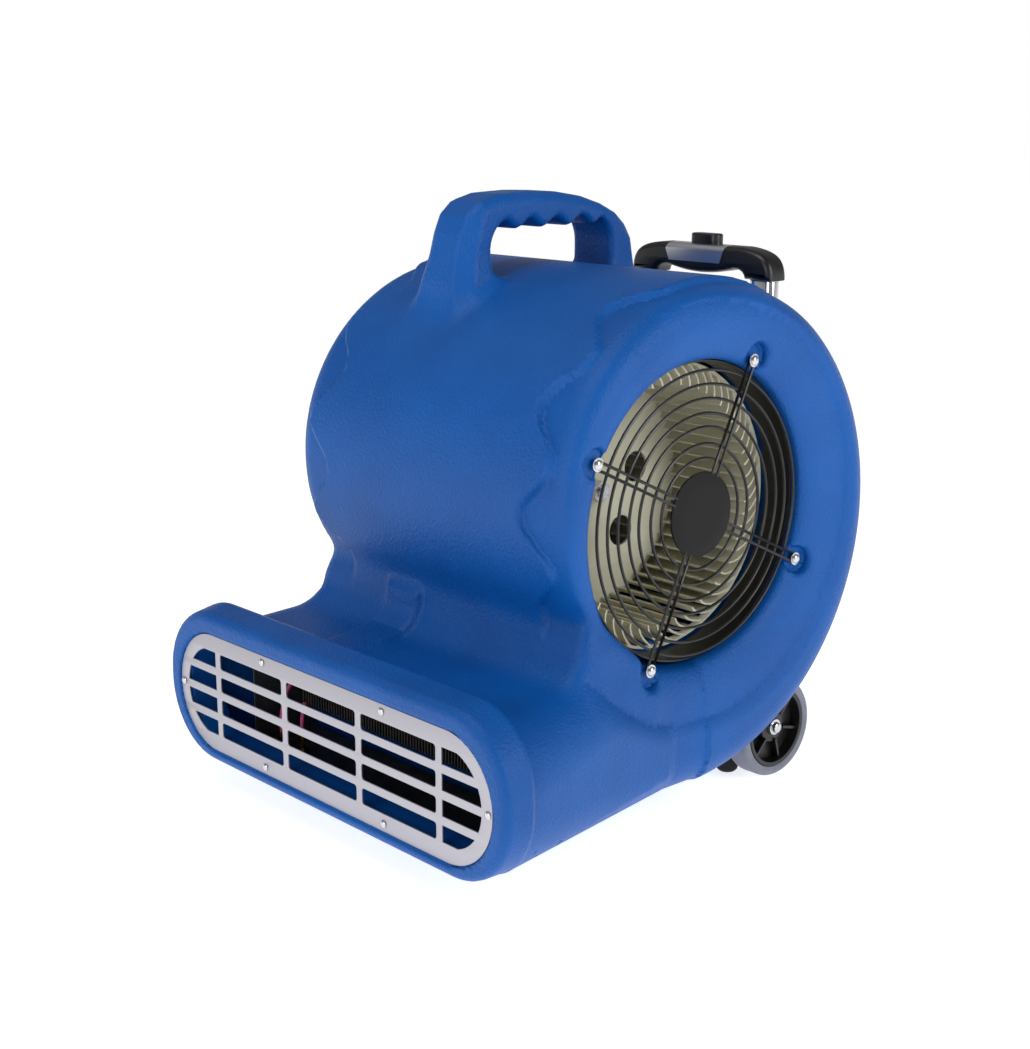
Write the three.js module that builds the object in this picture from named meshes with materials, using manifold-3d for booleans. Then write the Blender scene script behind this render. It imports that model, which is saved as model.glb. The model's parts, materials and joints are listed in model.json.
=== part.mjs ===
// Carpet and floor dryer: a centrifugal blower in a moulded snail housing, with a heater in its
// outlet duct, a carry handle, two rear wheels and a telescopic trolley handle.
// Millimetres, +Z up, +Y to the back, the outlet faces -Y and the two inlets face +X and -X.
import * as THREE from 'three';
import { mergeVertices } from 'three/addons/utils/BufferGeometryUtils.js';
import Module from 'manifold-3d';

const wasm = await Module();
wasm.setup();

// Driving dimensions
const gap = 0.3; // between touching pieces
const wall = 5; // moulded wall of the housing
const machineShift = -267.13; // from the grille's face to the middle of the machine, along Y

const fan = { y: 296, z: 299, r: 136, bladeR: 114, halfLength: 147, blades: 30, hubX: 44 };
const scroll = { start: 160, growth: 24.4, easing: 0.942, tongue: 220, roll: 34, meetsDuct: 210 };
const mouth = { lipR: 142, lipX: 186, crestR: 195, crestX: 205, tube: 38 };
const duct = { front: 30, back: 300, halfWidth: 247, bottom: 27, top: 160, corner: 60, narrowing: 0.17 };
const collarOfDuct = { front: -2, back: 34, halfWidth: 257, bottom: 29, top: 182, corner: 72 };
const grille = { z: 101, halfWidth: 237.5, halfHeight: 59.5, thick: 1.6, slotPitch: 23.4, bar: 8 };
const handle = { x: -57, halfWidth: 30, front: 190, back: 437, top: 582.5, foot: 440 };
const guard = { x: 191, screwR: 150.6, tilt: -25.8, wire: 1.5, hubR: 40 };
const wheel = { y: 440.5, z: 50.8, r: 50.8, outer: 172.5, width: 28, rimR: 40, axleR: 8 };
const leg = { inner: 62, outer: 140, front: 388, back: 472, bottom: 18 };
const trolley = { y: 510, x: 79, sleeveW: 31, sleeveD: 17, bottom: 120, top: 489, recessY: 494 };
const panel = { x: -156, z: 299, width: 54, height: 112, floorY: 520 };

// Colours and finishes
const finish = (color, roughness, metalness) =>
  new THREE.MeshStandardMaterial({ color, roughness, metalness });
const bluePlastic = finish(0x1c56a6, 0.45, 0);
const creamPlastic = finish(0xd9d6c2, 0.5, 0);
const blackPlastic = finish(0x141517, 0.4, 0);
const blackCoat = finish(0x101113, 0.35, 0.3);
const brushedSteel = finish(0xb4b6bc, 0.35, 1);
const zincPlate = finish(0xc2c4c8, 0.3, 1);
const chrome = finish(0xd8dade, 0.08, 1);
const castAlloy = finish(0x9a9da1, 0.5, 0.9);
const greyRubber = finish(0x7f818f, 0.7, 0);
const blackRubber = finish(0x17181a, 0.8, 0);
const darkFins = finish(0x2a2622, 0.6, 0.6);
const brass = finish(0xb08d3f, 0.3, 1);
const pinkSilicone = finish(0xd6578f, 0.5, 0);

// A closed three.js geometry as a solid, with its faces turned outwards.
function solid(geometry) {
  const bare = geometry.clone();
  bare.deleteAttribute('normal');
  bare.deleteAttribute('uv');
  const merged = mergeVertices(bare, 1e-4);
  const vertProperties = new Float32Array(merged.attributes.position.array);
  const triVerts = new Uint32Array(merged.index.array);
  const kept = [];
  for (let i = 0; i < triVerts.length; i += 3) {
    const [a, b, c] = triVerts.slice(i, i + 3);
    if (a !== b && b !== c && c !== a) kept.push(a, b, c);
  }
  if (signedVolume(vertProperties, kept) < 0) {
    for (let i = 0; i < kept.length; i += 3) [kept[i], kept[i + 1]] = [kept[i + 1], kept[i]];
  }
  const mesh = new wasm.Mesh({ numProp: 3, vertProperties, triVerts: new Uint32Array(kept) });
  mesh.merge();
  return new wasm.Manifold(mesh);
}

function signedVolume(positions, triangles) {
  const corner = (i) => new THREE.Vector3().fromArray(positions, 3 * triangles[i]);
  let volume = 0;
  for (let i = 0; i < triangles.length; i += 3) {
    volume += corner(i).dot(corner(i + 1).cross(corner(i + 2)));
  }
  return volume / 6;
}

function toGeometry(manifold) {
  const mesh = manifold.getMesh();
  const geometry = new THREE.BufferGeometry();
  geometry.setAttribute('position', new THREE.BufferAttribute(mesh.vertProperties, 3));
  geometry.setIndex(new THREE.BufferAttribute(mesh.triVerts, 1));
  geometry.computeVertexNormals();
  return geometry;
}

const union = (solids) => solids.reduce((sum, next) => sum.add(next));

// Turning geometry from the plane it is drawn in to its place in the machine
const basis = (x, y, z) => new THREE.Matrix4().makeBasis(x, y, z);
const axisX = new THREE.Vector3(1, 0, 0);
const axisY = new THREE.Vector3(0, 1, 0);
const axisZ = new THREE.Vector3(0, 0, 1);
const alongX = basis(axisY, axisZ, axisX);
const alongBack = basis(axisX, axisZ, axisY.clone().negate());

// The same outline as straight steps, with no point twice.
function stepped(shape, curveSegments) {
  const distinct = (points) => points.filter((point, i) =>
    point.distanceTo(points[(i + points.length - 1) % points.length]) > 1e-3);
  const { shape: outer, holes } = shape.extractPoints(curveSegments);
  const plain = new THREE.Shape(distinct(outer));
  plain.holes = holes.map((hole) => new THREE.Path(distinct(hole)));
  return plain;
}

// A (y, z) outline pushed along X between two planes, with an optional rounded edge.
function extrudeX(shape, from, to, edge = 0, edgeSteps = 3, curveSegments = 4) {
  const options = { depth: to - from - 2 * edge, bevelEnabled: edge > 0 };
  Object.assign(options, { bevelThickness: edge, bevelSize: edge, bevelOffset: -edge });
  options.bevelSegments = edgeSteps;
  const geometry = new THREE.ExtrudeGeometry(stepped(shape, curveSegments), options);
  return solid(geometry.applyMatrix4(alongX).translate(from + edge, 0, 0));
}

// An (x, z) outline pushed along Y between two planes.
function extrudeY(shape, from, to, steps = 1, curveSegments = 2) {
  const geometry = new THREE.ExtrudeGeometry(stepped(shape, curveSegments), {
    depth: to - from, bevelEnabled: false, steps,
  });
  return geometry.applyMatrix4(alongBack).translate(0, to, 0);
}

// An (x, y) outline pushed up Z.
function extrudeZ(shape, from, to, edge = 0) {
  const options = { depth: to - from - 2 * edge, bevelEnabled: edge > 0, bevelSegments: 2 };
  Object.assign(options, { bevelThickness: edge, bevelSize: edge, bevelOffset: -edge });
  const geometry = new THREE.ExtrudeGeometry(stepped(shape, 2), options);
  return solid(geometry.translate(0, 0, from + edge));
}

// A closed (radius, x) profile turned about the X axis through (y, z).
function turnX(profile, segments, y, z) {
  const points = profile.map(([r, x]) => new THREE.Vector2(r, x));
  points.push(points[0].clone());
  const geometry = new THREE.LatheGeometry(points, segments);
  return solid(geometry.rotateZ(-Math.PI / 2).translate(0, y, z));
}

function box(x0, x1, y0, y1, z0, z1) {
  const geometry = new THREE.BoxGeometry(x1 - x0, y1 - y0, z1 - z0);
  return solid(geometry.translate((x0 + x1) / 2, (y0 + y1) / 2, (z0 + z1) / 2));
}

function cylinder(axis, r, from, to, centre, segments = 24) {
  const geometry = new THREE.CylinderGeometry(r, r, to - from, segments);
  geometry.translate(0, (from + to) / 2, 0);
  if (axis === 'x') geometry.rotateZ(-Math.PI / 2);
  if (axis === 'z') geometry.rotateX(Math.PI / 2);
  return solid(geometry.translate(...centre));
}

function rectangle(x0, x1, y0, y1) {
  const corners = [[x0, y0], [x1, y0], [x1, y1], [x0, y1]];
  return new THREE.Shape(corners.map((corner) => new THREE.Vector2(...corner)));
}

function roundedRect(x0, x1, y0, y1, r) {
  const shape = new THREE.Shape();
  shape.moveTo(x0 + r, y0);
  shape.lineTo(x1 - r, y0);
  shape.absarc(x1 - r, y0 + r, r, -Math.PI / 2, 0);
  shape.lineTo(x1, y1 - r);
  shape.absarc(x1 - r, y1 - r, r, 0, Math.PI / 2);
  shape.lineTo(x0 + r, y1);
  shape.absarc(x0 + r, y1 - r, r, Math.PI / 2, Math.PI);
  shape.lineTo(x0, y0 + r);
  shape.absarc(x0 + r, y0 + r, r, Math.PI, 1.5 * Math.PI);
  return shape;
}

function tubeAlong(points, r, steps, sides) {
  const circle = new THREE.Shape();
  circle.absarc(0, 0, r, 0, 2 * Math.PI);
  const path = new THREE.CatmullRomCurve3(points.map((p) => new THREE.Vector3(...p)));
  const options = { steps, extrudePath: path, curveSegments: sides };
  return solid(new THREE.ExtrudeGeometry(circle, options));
}

const mirrored = (solidOfSide, side) => (side > 0 ? solidOfSide : solidOfSide.mirror([1, 0, 0]));

const group = new THREE.Group();
group.position.y = machineShift;

function piece(name, shape, material) {
  const mesh = new THREE.Mesh(toGeometry(shape), material);
  mesh.name = name;
  group.add(mesh);
}

// Housing: the scroll's outline grows from the tongue over the top to the bottom, then runs
// forward as the duct. Angles are in degrees from +Y towards +Z.
const degrees = Math.PI / 180;
function scrollPoint(angle, inset) {
  const turn = (scroll.tongue - angle) * degrees;
  const r = scroll.start + scroll.growth * turn - scroll.easing * turn * turn - inset;
  return [fan.y + r * Math.cos(angle * degrees), fan.z + r * Math.sin(angle * degrees)];
}

function scrollOutline(inset) {
  const shape = new THREE.Shape();
  const front = duct.front + inset;
  const valley = { y: 136, z: 168 - inset };
  shape.moveTo(front, duct.bottom + inset);
  shape.lineTo(150, duct.bottom + inset);
  for (let angle = -90; angle <= scroll.meetsDuct; angle += inset > 0 ? 20 : 12) {
    shape.lineTo(...scrollPoint(angle, inset));
  }
  shape.quadraticCurveTo(valley.y + 16, valley.z + 4, valley.y, valley.z);
  shape.lineTo(front, duct.top - inset);
  return shape;
}

// The duct's rounded-box section, narrowing towards the scroll.
function ductBody(inset, front) {
  const { halfWidth, bottom, top, corner, back, narrowing } = duct;
  const width = halfWidth - inset;
  const section = roundedRect(-width, width, bottom + inset, top - inset, corner - inset);
  const geometry = extrudeY(section, front, back, 1, 4);
  const position = geometry.attributes.position;
  for (let i = 0; i < position.count; i += 1) {
    const along = Math.max(0, (position.getY(i) - duct.front) / (back - duct.front));
    position.setX(i, position.getX(i) * (1 - narrowing * along));
  }
  return solid(geometry);
}

// The trumpet of an inlet: a quarter ellipse from the lip out to the crest.
function trumpet(side, inward) {
  const start = mouth.lipX - (inward > 0 ? mouth.tube : 2 * mouth.tube);
  const profile = [[0, start], [mouth.lipR + inward, start]];
  const steps = inward > 0 ? 2 : 3;
  for (let i = 0; i <= steps; i += 1) {
    const turn = (i / steps) * (Math.PI / 2);
    const r = mouth.crestR - (mouth.crestR - mouth.lipR - inward) * Math.cos(turn);
    profile.push([r, mouth.lipX - inward + (mouth.crestX - mouth.lipX) * Math.sin(turn)]);
  }
  profile.push([mouth.crestR, 230], [0, 230]);
  return mirrored(turnX(profile, inward > 0 ? 16 : 28, fan.y, fan.z), side);
}

function handleSolid() {
  const { x, halfWidth, front, back, top, foot } = handle;
  const crown = [[10, -63], [17, -38], [30, -12], [62, -2], [103, 0], [137, -1.5], [171, -7], [199, -16],
    [218, -25], [231, -37], [240, -51], [247, -88]];
  const outline = new THREE.Shape();
  outline.moveTo(front, foot);
  crown.forEach(([along, down]) => outline.lineTo(front + along, top + down));
  outline.lineTo(back + 2, foot);
  const grip = new THREE.Shape();
  const open = { front: 238, back: 397, floor: 490, roof: 556 };
  grip.moveTo(open.front, open.floor);
  grip.lineTo(open.front, open.roof - 22);
  grip.quadraticCurveTo(open.front + 2, open.roof - 6, open.front + 16, open.roof - 4);
  grip.lineTo(open.back - 34, open.roof - 6);
  grip.quadraticCurveTo(open.back - 4, open.roof - 14, open.back, open.roof - 40);
  grip.lineTo(open.back, open.floor);
  const opening = extrudeX(grip, x - halfWidth - 5, x + halfWidth + 5);
  return extrudeX(outline, x - halfWidth, x + halfWidth, 9, 2, 2).subtract(opening);
}

function ribSolid() {
  const outline = new THREE.Shape();
  outline.moveTo(45, 150);
  outline.lineTo(47, 161);
  outline.lineTo(128, 174);
  outline.quadraticCurveTo(143, 180, 145, 210);
  outline.lineTo(165, 240);
  outline.lineTo(175, 150);
  return extrudeX(outline, handle.x - 25, handle.x + 27, 5, 2, 4);
}

function wheelWell(side, clearance) {
  const from = wheel.outer - wheel.width - 3.5 - clearance;
  const to = wheel.outer + 3.5 + clearance;
  return mirrored(cylinder('x', wheel.r + 4 + clearance, from, to, [0, wheel.y, wheel.z], 20), side);
}

const sides = [1, -1];
const sideName = (side) => (side > 0 ? 'right' : 'left');

function housingOuter() {
  const { front, back, halfWidth, bottom, top, corner } = collarOfDuct;
  const nose = roundedRect(-halfWidth, halfWidth, bottom, top, corner);
  const noseRing = new THREE.ExtrudeGeometry(stepped(nose, 4), {
    depth: back - front - 7, bevelThickness: 7, bevelSize: 7, bevelOffset: -7, bevelSegments: 2,
  });
  noseRing.applyMatrix4(alongBack).translate(0, back, 0);
  const nosePlane = box(-300, 300, front - 20, back, 0, 300);
  const legs = sides.map((side) => mirrored(legSolid(), side));
  return union([
    extrudeX(scrollOutline(0), -mouth.crestX, mouth.crestX, scroll.roll, 3, 3),
    ductBody(0, duct.front),
    solid(noseRing).intersect(nosePlane),
    handleSolid(),
    ribSolid(),
    ...legs,
  ]);
}

function legSolid() {
  const outline = roundedRect(leg.front, leg.back, leg.bottom, 130, 14);
  return extrudeX(outline, leg.inner, leg.outer, 4, 2, 4);
}

function housingCavity() {
  const recess = trolley.recessY - wall;
  let cavity = extrudeX(scrollOutline(wall), -mouth.crestX + wall, mouth.crestX - wall,
    scroll.roll - wall, 2, 2).add(ductBody(wall, duct.front));
  cavity = cavity.subtract(box(-127, 127, recess, 700, 0, 600));
  cavity = cavity.subtract(panelPocket(wall));
  sides.forEach((side) => {
    cavity = cavity.subtract(trumpet(side, wall)).subtract(wheelWell(side, wall));
  });
  return cavity;
}

function panelPocket(grow) {
  const { x, z, width, height, floorY } = panel;
  const w = width / 2 + 1 + grow;
  const h = height / 2 + 1 + grow;
  const section = roundedRect(x - w, x + w, z - h, z + h, 8 + grow);
  return solid(extrudeY(section, floorY - grow, 600));
}

function housing() {
  const ledge = roundedRect(-grille.halfWidth - 0.6, grille.halfWidth + 0.6,
    grille.z - grille.halfHeight - 0.6, grille.z + grille.halfHeight + 0.6, grille.halfHeight + 0.5);
  const opening = roundedRect(-225, 225, grille.z - 47, grille.z + 47, 46.5);
  let body = housingOuter().subtract(housingCavity());
  body = body.subtract(solid(extrudeY(ledge, -20, grille.thick + gap, 1, 6)));
  body = body.subtract(solid(extrudeY(opening, -20, duct.front + wall + 8, 1, 4)));
  body = body.subtract(box(-122, 122, trolley.recessY, 700, 0, 600)).subtract(panelPocket(0));
  sides.forEach((side) => {
    body = body.subtract(trumpet(side, 0)).subtract(wheelWell(side, 0));
    screwPlaces().forEach(([y, z]) => {
      const seat = cylinder('x', 13, guard.x - guard.wire - gap, 240, [0, y, z], 10);
      const hole = cylinder('x', 2.4, guard.x - 22, 240, [0, y, z], 6);
      body = body.subtract(mirrored(seat, side)).subtract(mirrored(hole, side));
    });
  });
  const axleHole = cylinder('x', wheel.axleR + gap, -160, 160, [0, wheel.y, wheel.z], 16);
  piece('housing', body.subtract(axleHole), bluePlastic);
}

function screwPlaces() {
  return [0, 1, 2, 3].map((i) => {
    const angle = (guard.tilt + 90 * i) * degrees;
    return [fan.y + guard.screwR * Math.cos(angle), fan.z + guard.screwR * Math.sin(angle)];
  });
}

// Pan-head screw: shank along -axis under a domed head, at the origin, pointing out along +X.
function screwX(headR, headHeight, shankR, shankLength) {
  const profile = [[0, -shankLength], [shankR, -shankLength], [shankR, 0], [headR, 0]];
  profile.push([headR, headHeight * 0.45], [headR * 0.6, headHeight], [0, headHeight]);
  return turnX(profile, 6, 0, 0);
}

// Outlet grille: a stadium plate with four rows of slots between three wide and two end bays.
function outletGrille() {
  const { z, halfWidth, halfHeight, thick, slotPitch, bar } = grille;
  const plate = roundedRect(-halfWidth, halfWidth, z - halfHeight, z + halfHeight, halfHeight - 0.1);
  const columns = [-169, -57, 57, 169];
  const slotHalf = (slotPitch - bar) / 2;
  const endReach = (dz) => 179 + Math.sqrt(45 * 45 - dz * dz);
  const slots = [];
  [-1.5, -0.5, 0.5, 1.5].forEach((row) => {
    const z0 = z + row * slotPitch - slotHalf;
    const z1 = z + row * slotPitch + slotHalf;
    for (let i = 0; i < 3; i += 1) {
      slots.push(rectangle(columns[i] + bar / 2, columns[i + 1] - bar / 2, z0, z1));
    }
    sides.forEach((side) => {
      const outer = Math.min(Math.abs(row), 1.5) * slotPitch;
      const near = endReach(outer - slotHalf);
      const far = endReach(Math.min(outer + slotHalf, 44));
      const end = new THREE.Shape();
      const [lowX, highX] = row > 0 ? [near, far] : [far, near];
      end.moveTo(side * (columns[3] + bar / 2), z0);
      end.lineTo(side * lowX, z0);
      end.quadraticCurveTo(side * Math.max(lowX, highX), (z0 + z1) / 2, side * highX, z1);
      end.lineTo(side * (columns[3] + bar / 2), z1);
      slots.push(end);
    });
  });
  let shape = solid(extrudeY(plate, 0, thick, 1, 6));
  slots.forEach((slot) => {
    shape = shape.subtract(solid(extrudeY(slot, -5, thick + 5, 1, 1)));
  });
  grilleScrewPlaces().forEach(([x, screwZ]) => {
    shape = shape.subtract(alongOutlet(screwX(2.3, 9, 2.3, 9), x, 0, screwZ));
  });
  piece('outlet_grille', shape, brushedSteel);
}

function grilleScrewPlaces() {
  const rows = [-52.5, 52.5].flatMap((dz) => [[-91.7, grille.z + dz], [91.7, grille.z + dz]]);
  return [[-232.3, grille.z], ...rows, [232.3, grille.z]];
}

// A piece made pointing along +X, turned to point out of the outlet.
function alongOutlet(shape, x, y, z) {
  return shape.rotate([0, 0, -90]).translate([x, y, z]);
}

function outletScrews() {
  grilleScrewPlaces().forEach(([x, z], i) => {
    const screw = alongOutlet(screwX(3.8, 1.7, 1.9, 1.6), x, -gap, z);
    piece(`outlet_screw_${i + 1}`, screw, zincPlate);
  });
}

// Inlet guard: concentric wires on four double spokes, with a steel disc in the middle.
function wireRing(r) {
  const rounds = 12;
  const half = guard.wire;
  const profile = [[r - half, -half], [r + half, -half], [r + half, half], [r - half, half]];
  return turnX(profile.map(([radius, x]) => [radius, x + guard.x]), rounds, fan.y, fan.z);
}

function inletGuard(side) {
  const ringRadii = [52, 65.4, 80.7, 93.4, 107, 120, 133];
  const spokeHalf = 5.1; // a pair of wires side by side
  const spokes = [0, 1, 2, 3].map((i) => {
    const turn = guard.tilt + 90 * i;
    const from = guard.hubR - 4;
    const to = guard.screwR + 5;
    const bar = box(guard.x - guard.wire, guard.x + guard.wire, from, to, -spokeHalf, spokeHalf);
    const hole = cylinder('x', 2.4, guard.x - 3, guard.x + 3, [0, guard.screwR, 0], 6);
    return bar.subtract(hole).rotate([turn, 0, 0]).translate([0, fan.y, fan.z]);
  });
  const disc = cylinder('x', guard.hubR, guard.x - 1.2, guard.x + 2.6, [0, fan.y, fan.z], 20);
  const rings = ringRadii.map(wireRing);
  piece(`inlet_guard_${sideName(side)}`, mirrored(union([...spokes, ...rings, disc]), side), blackCoat);
  screwPlaces().forEach(([y, z], i) => {
    const screw = screwX(5, 3, 2, 16).translate([guard.x + guard.wire + gap, y, z]);
    piece(`guard_screw_${sideName(side)}_${i + 1}`, mirrored(screw, side), zincPlate);
  });
}

// Inlet collar: the black ring lining the throat in front of the fan's rim.
function inletCollar(side) {
  const ring = turnX([[138.6, 150], [mouth.lipR - gap, 150], [mouth.lipR - gap, 185],
    [138.6, 185]], 28, fan.y, fan.z);
  piece(`inlet_collar_${sideName(side)}`, mirrored(ring, side), blackPlastic);
}

// Fan wheel: forward-curved blades between two rims, on a hub disc with six holes.
function impeller() {
  const { y, z, r, bladeR, halfLength, blades, hubX } = fan;
  const rim = (x) => turnX([[bladeR - 1, x - 1.5], [r + 1, x - 1.5], [r + 1, x + 1.5],
    [bladeR - 1, x + 1.5]], 24, y, z);
  const blade = new THREE.Shape();
  blade.moveTo(bladeR, 0);
  blade.lineTo(r - 1, 8);
  blade.lineTo(r - 1.6, 9.8);
  blade.lineTo(bladeR + 0.6, 1.8);
  const bladeSolid = extrudeX(blade, 1 - halfLength, halfLength - 1);
  const cage = Array.from({ length: blades }, (_, i) =>
    bladeSolid.rotate([(360 * i) / blades, 0, 0]).translate([0, y, z]));
  let hub = cylinder('x', bladeR + 5, hubX - 2, hubX + 2, [0, y, z], 24);
  hub = hub.add(cylinder('x', 24, hubX - 16, hubX + 10, [0, y, z], 16));
  for (let i = 0; i < 6; i += 1) {
    const angle = (60 * i + 12) * degrees;
    const centre = [0, y + 65.5 * Math.cos(angle), z + 65.5 * Math.sin(angle)];
    hub = hub.subtract(cylinder('x', 15.5, hubX - 9, hubX + 9, centre, 8));
  }
  hub = hub.subtract(cylinder('x', 6.35 + gap, hubX - 40, hubX + 40, [0, y, z], 12));
  const wheelSolid = union([hub, rim(halfLength - 1.5), rim(1.5 - halfLength), ...cage]);
  piece('impeller', wheelSolid, creamPlastic);
  piece('motor_shaft', cylinder('x', 6.35, -20, hubX + 24, [0, y, z], 20), zincPlate);
  const nut = cylinder('x', 11, hubX + 10 + gap, hubX + 20, [0, y, z], 6);
  const bore = cylinder('x', 6.35 + gap, hubX, hubX + 30, [0, y, z], 20);
  piece('hub_nut', nut.subtract(bore), zincPlate);
}

// Motor: in the left half of the fan, held by a four-arm bracket across the left inlet.
function bracketArms() {
  const reach = 137.5;
  const arms = [45, 135].map((turn) => box(-176, -172, -reach, reach, -13, 13)
    .rotate([turn, 0, 0]).translate([0, fan.y, fan.z]));
  return union(arms);
}

function motor() {
  const centre = [0, fan.y, fan.z];
  const frontBore = cylinder('x', 6.35 + gap, -30, 20, centre, 20);
  const body = cylinder('x', 62, -140, -4, centre, 32).add(cylinder('x', 22, -10, 8, centre, 20));
  piece('motor_body', body.subtract(frontBore), castAlloy);
  const cover = cylinder('x', 58, -171.6, -140 - gap, centre, 32);
  const coverBoss = cylinder('x', 30, -171.6, -150, centre, 24);
  const vents = Array.from({ length: 6 }, (_, i) => {
    const angle = i * 60 * degrees;
    const place = [0, fan.y + 46 * Math.cos(angle), fan.z + 46 * Math.sin(angle)];
    return cylinder('x', 7, -180, -162, place, 8);
  });
  piece('motor_end_cover', cover.add(coverBoss).subtract(union(vents)), castAlloy);
  const plate = cylinder('x', 40, -176, -172, centre, 24);
  piece('motor_bracket', bracketArms().add(plate), brushedSteel);
  const can = cylinder('x', 18, -110, -40, [0, fan.y, fan.z - 62 - 18 - gap], 20);
  piece('motor_capacitor', can, blackPlastic);
}

// Heater: a finned element hung in the upper half of the duct over a sheet-steel tray.
function heater() {
  const tray = { left: -178, right: 190, front: 46, back: 118, bottom: 39, top: 150, sheet: 1.5 };
  const trayShape = union([
    box(tray.left, tray.right, tray.front, tray.back, tray.bottom, tray.bottom + tray.sheet),
    box(tray.left, tray.left + tray.sheet, tray.front, tray.back, tray.bottom, tray.top - 8),
    box(tray.right - tray.sheet, tray.right, tray.front, tray.back, tray.bottom, tray.top - 8),
  ]);
  piece('heater_tray', trayShape, castAlloy);
  const core = { left: -118, right: 188, front: 64, back: 104, low: 92, high: 148 };
  const fins = [];
  const finPitch = 22;
  for (let x = core.left + 3; x < core.right - 3; x += finPitch) {
    fins.push(box(x, x + 11, core.front + 2, core.back - 2, core.low, core.low + 12));
  }
  const block = box(core.left, core.right, core.front, core.back, core.low + 8, core.high);
  piece('heater_core', union([block, ...fins]), darkFins);
  const rail = box(core.left - 6, core.right, core.front - 5, core.front - gap, core.high - 9, core.high);
  piece('heater_rail', rail, brushedSteel);
  [[-118, 62], [-142, 54]].forEach(([x, y], i) => {
    const foot = tray.bottom + tray.sheet + gap;
    const stud = cylinder('z', 6, foot, foot + 3, [x, y, 0], 6);
    const post = cylinder('z', 2.2, foot, foot + 16, [x, y, 0], 10);
    piece(`heater_terminal_${i + 1}`, stud.add(post), brass);
    const top = foot + 16 + gap;
    const end = [core.left - 2.4, 78 + 12 * i, 128 - 14 * i];
    const route = [[x, y, top], [x, y, top + 18], [x - 6 + 8 * i, y + 14, top + 52],
      [x - 2 + 6 * i, end[1] - 4, end[2] - 4], end];
    piece(`heater_lead_${i + 1}`, tubeAlong(route, 2, 9, 4), pinkSilicone);
  });
}

// Control panel in a pocket at the back: speed knob, heater rocker and the cable gland.
function controls() {
  const { x, z, width, height, floorY } = panel;
  const plate = roundedRect(x - width / 2, x + width / 2, z - height / 2, z + height / 2, 7);
  let plateSolid = solid(extrudeY(plate, floorY + gap, floorY + 3));
  const knobZ = z + 6;
  const rockerZ = z + 39;
  const glandZ = z - 36;
  const face = floorY + 3;
  const window = box(x - 8, x + 8, floorY - 1, face + 1, rockerZ - 12, rockerZ + 12);
  plateSolid = plateSolid.subtract(window);
  piece('control_panel', plateSolid, blackPlastic);
  const knob = union([
    cylinder('y', 17, face + gap, face + 4, [x, 0, knobZ], 20),
    cylinder('y', 13, face + gap, face + 11, [x, 0, knobZ], 20),
    box(x - 3, x + 3, face + 2, face + 13, knobZ - 14, knobZ + 14),
  ]);
  piece('speed_knob', knob, blackPlastic);
  const rocker = new THREE.Shape();
  rocker.moveTo(face - 1, -9.5);
  rocker.lineTo(face + 2.2, -9.5);
  rocker.quadraticCurveTo(face + 2.2, 0, face + 4.6, 9.5);
  rocker.lineTo(face - 1, 9.5);
  const rockerSolid = extrudeX(rocker, x - 7, x + 7).translate([0, 0, rockerZ]);
  piece('heater_rocker', rockerSolid, finish(0xb3261e, 0.4, 0));
  const nut = cylinder('y', 11, face + gap, face + 6, [x, 0, glandZ], 6);
  const dome = cylinder('y', 8.5, face + gap, face + 12, [x, 0, glandZ], 20);
  const cableHole = cylinder('y', 4.5, face - 5, face + 20, [x, 0, glandZ], 16);
  piece('cable_gland', nut.add(dome).subtract(cableHole), blackPlastic);
}

// Wheels on a fixed axle through the two rear legs.
function wheels() {
  const { y, z, r, outer, width, rimR, axleR } = wheel;
  const inner = outer - width;
  const axleEnd = outer - 5;
  piece('axle', cylinder('x', axleR, -axleEnd, axleEnd, [0, y, z], 20), zincPlate);
  sides.forEach((side) => {
    const bore = axleR + gap;
    const rim = turnX([[bore, inner], [16, inner], [17, inner + 9], [rimR - 5, inner + 9],
      [rimR - 5, inner + 1], [rimR, inner + 1], [rimR, outer - 1], [rimR - 5, outer - 1],
      [rimR - 6, outer - 10], [16, outer - 10], [16, outer - 7], [bore, outer - 7]], 18, y, z);
    piece(`wheel_rim_${sideName(side)}`, mirrored(rim, side), blackPlastic);
    const tread = rimR + 3 * gap;
    const tyre = turnX([[tread, inner + 1], [r - 5, inner], [r, inner + 7], [r, outer - 7],
      [r - 5, outer], [tread, outer - 1]], 24, y, z);
    piece(`tyre_${sideName(side)}`, mirrored(tyre, side), greyRubber);
    const bolt = cylinder('x', 12, axleEnd + gap, axleEnd + 1.8, [0, y, z], 20)
      .add(cylinder('x', 6.5, axleEnd + gap, axleEnd + 7, [0, y, z], 6));
    piece(`hub_bolt_${sideName(side)}`, mirrored(bolt, side), zincPlate);
  });
}

function feet() {
  sides.forEach((side) => {
    const rear = turnX([[0, gap - leg.bottom], [0, 0], [8, 0], [11, -3], [11, gap - leg.bottom]], 16, 0, 0)
      .rotate([0, 90, 0]).translate([side * 129, 414.5, 0]);
    piece(`rear_foot_${sideName(side)}`, rear, blackRubber);
    const front = turnX([[0, gap - duct.bottom], [0, 0], [9, 0], [12, -3], [14, gap - duct.bottom]],
      16, 0, 0).rotate([0, 90, 0]).translate([side * 110, 95, 0]);
    piece(`front_foot_${sideName(side)}`, front, blackRubber);
  });
}

// Trolley handle: two fixed sleeves in clamps on the flat back, two inner tubes and a grip.
function ovalTube(x, width, depth, thick, from, to) {
  const { y } = trolley;
  const section = (w, d) => roundedRect(x - w / 2, x + w / 2, y - d / 2, y + d / 2, d * 0.3);
  const inner = section(width - 2 * thick, depth - 2 * thick);
  return extrudeZ(section(width, depth), from, to).subtract(extrudeZ(inner, from - 5, to + 5));
}

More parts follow.
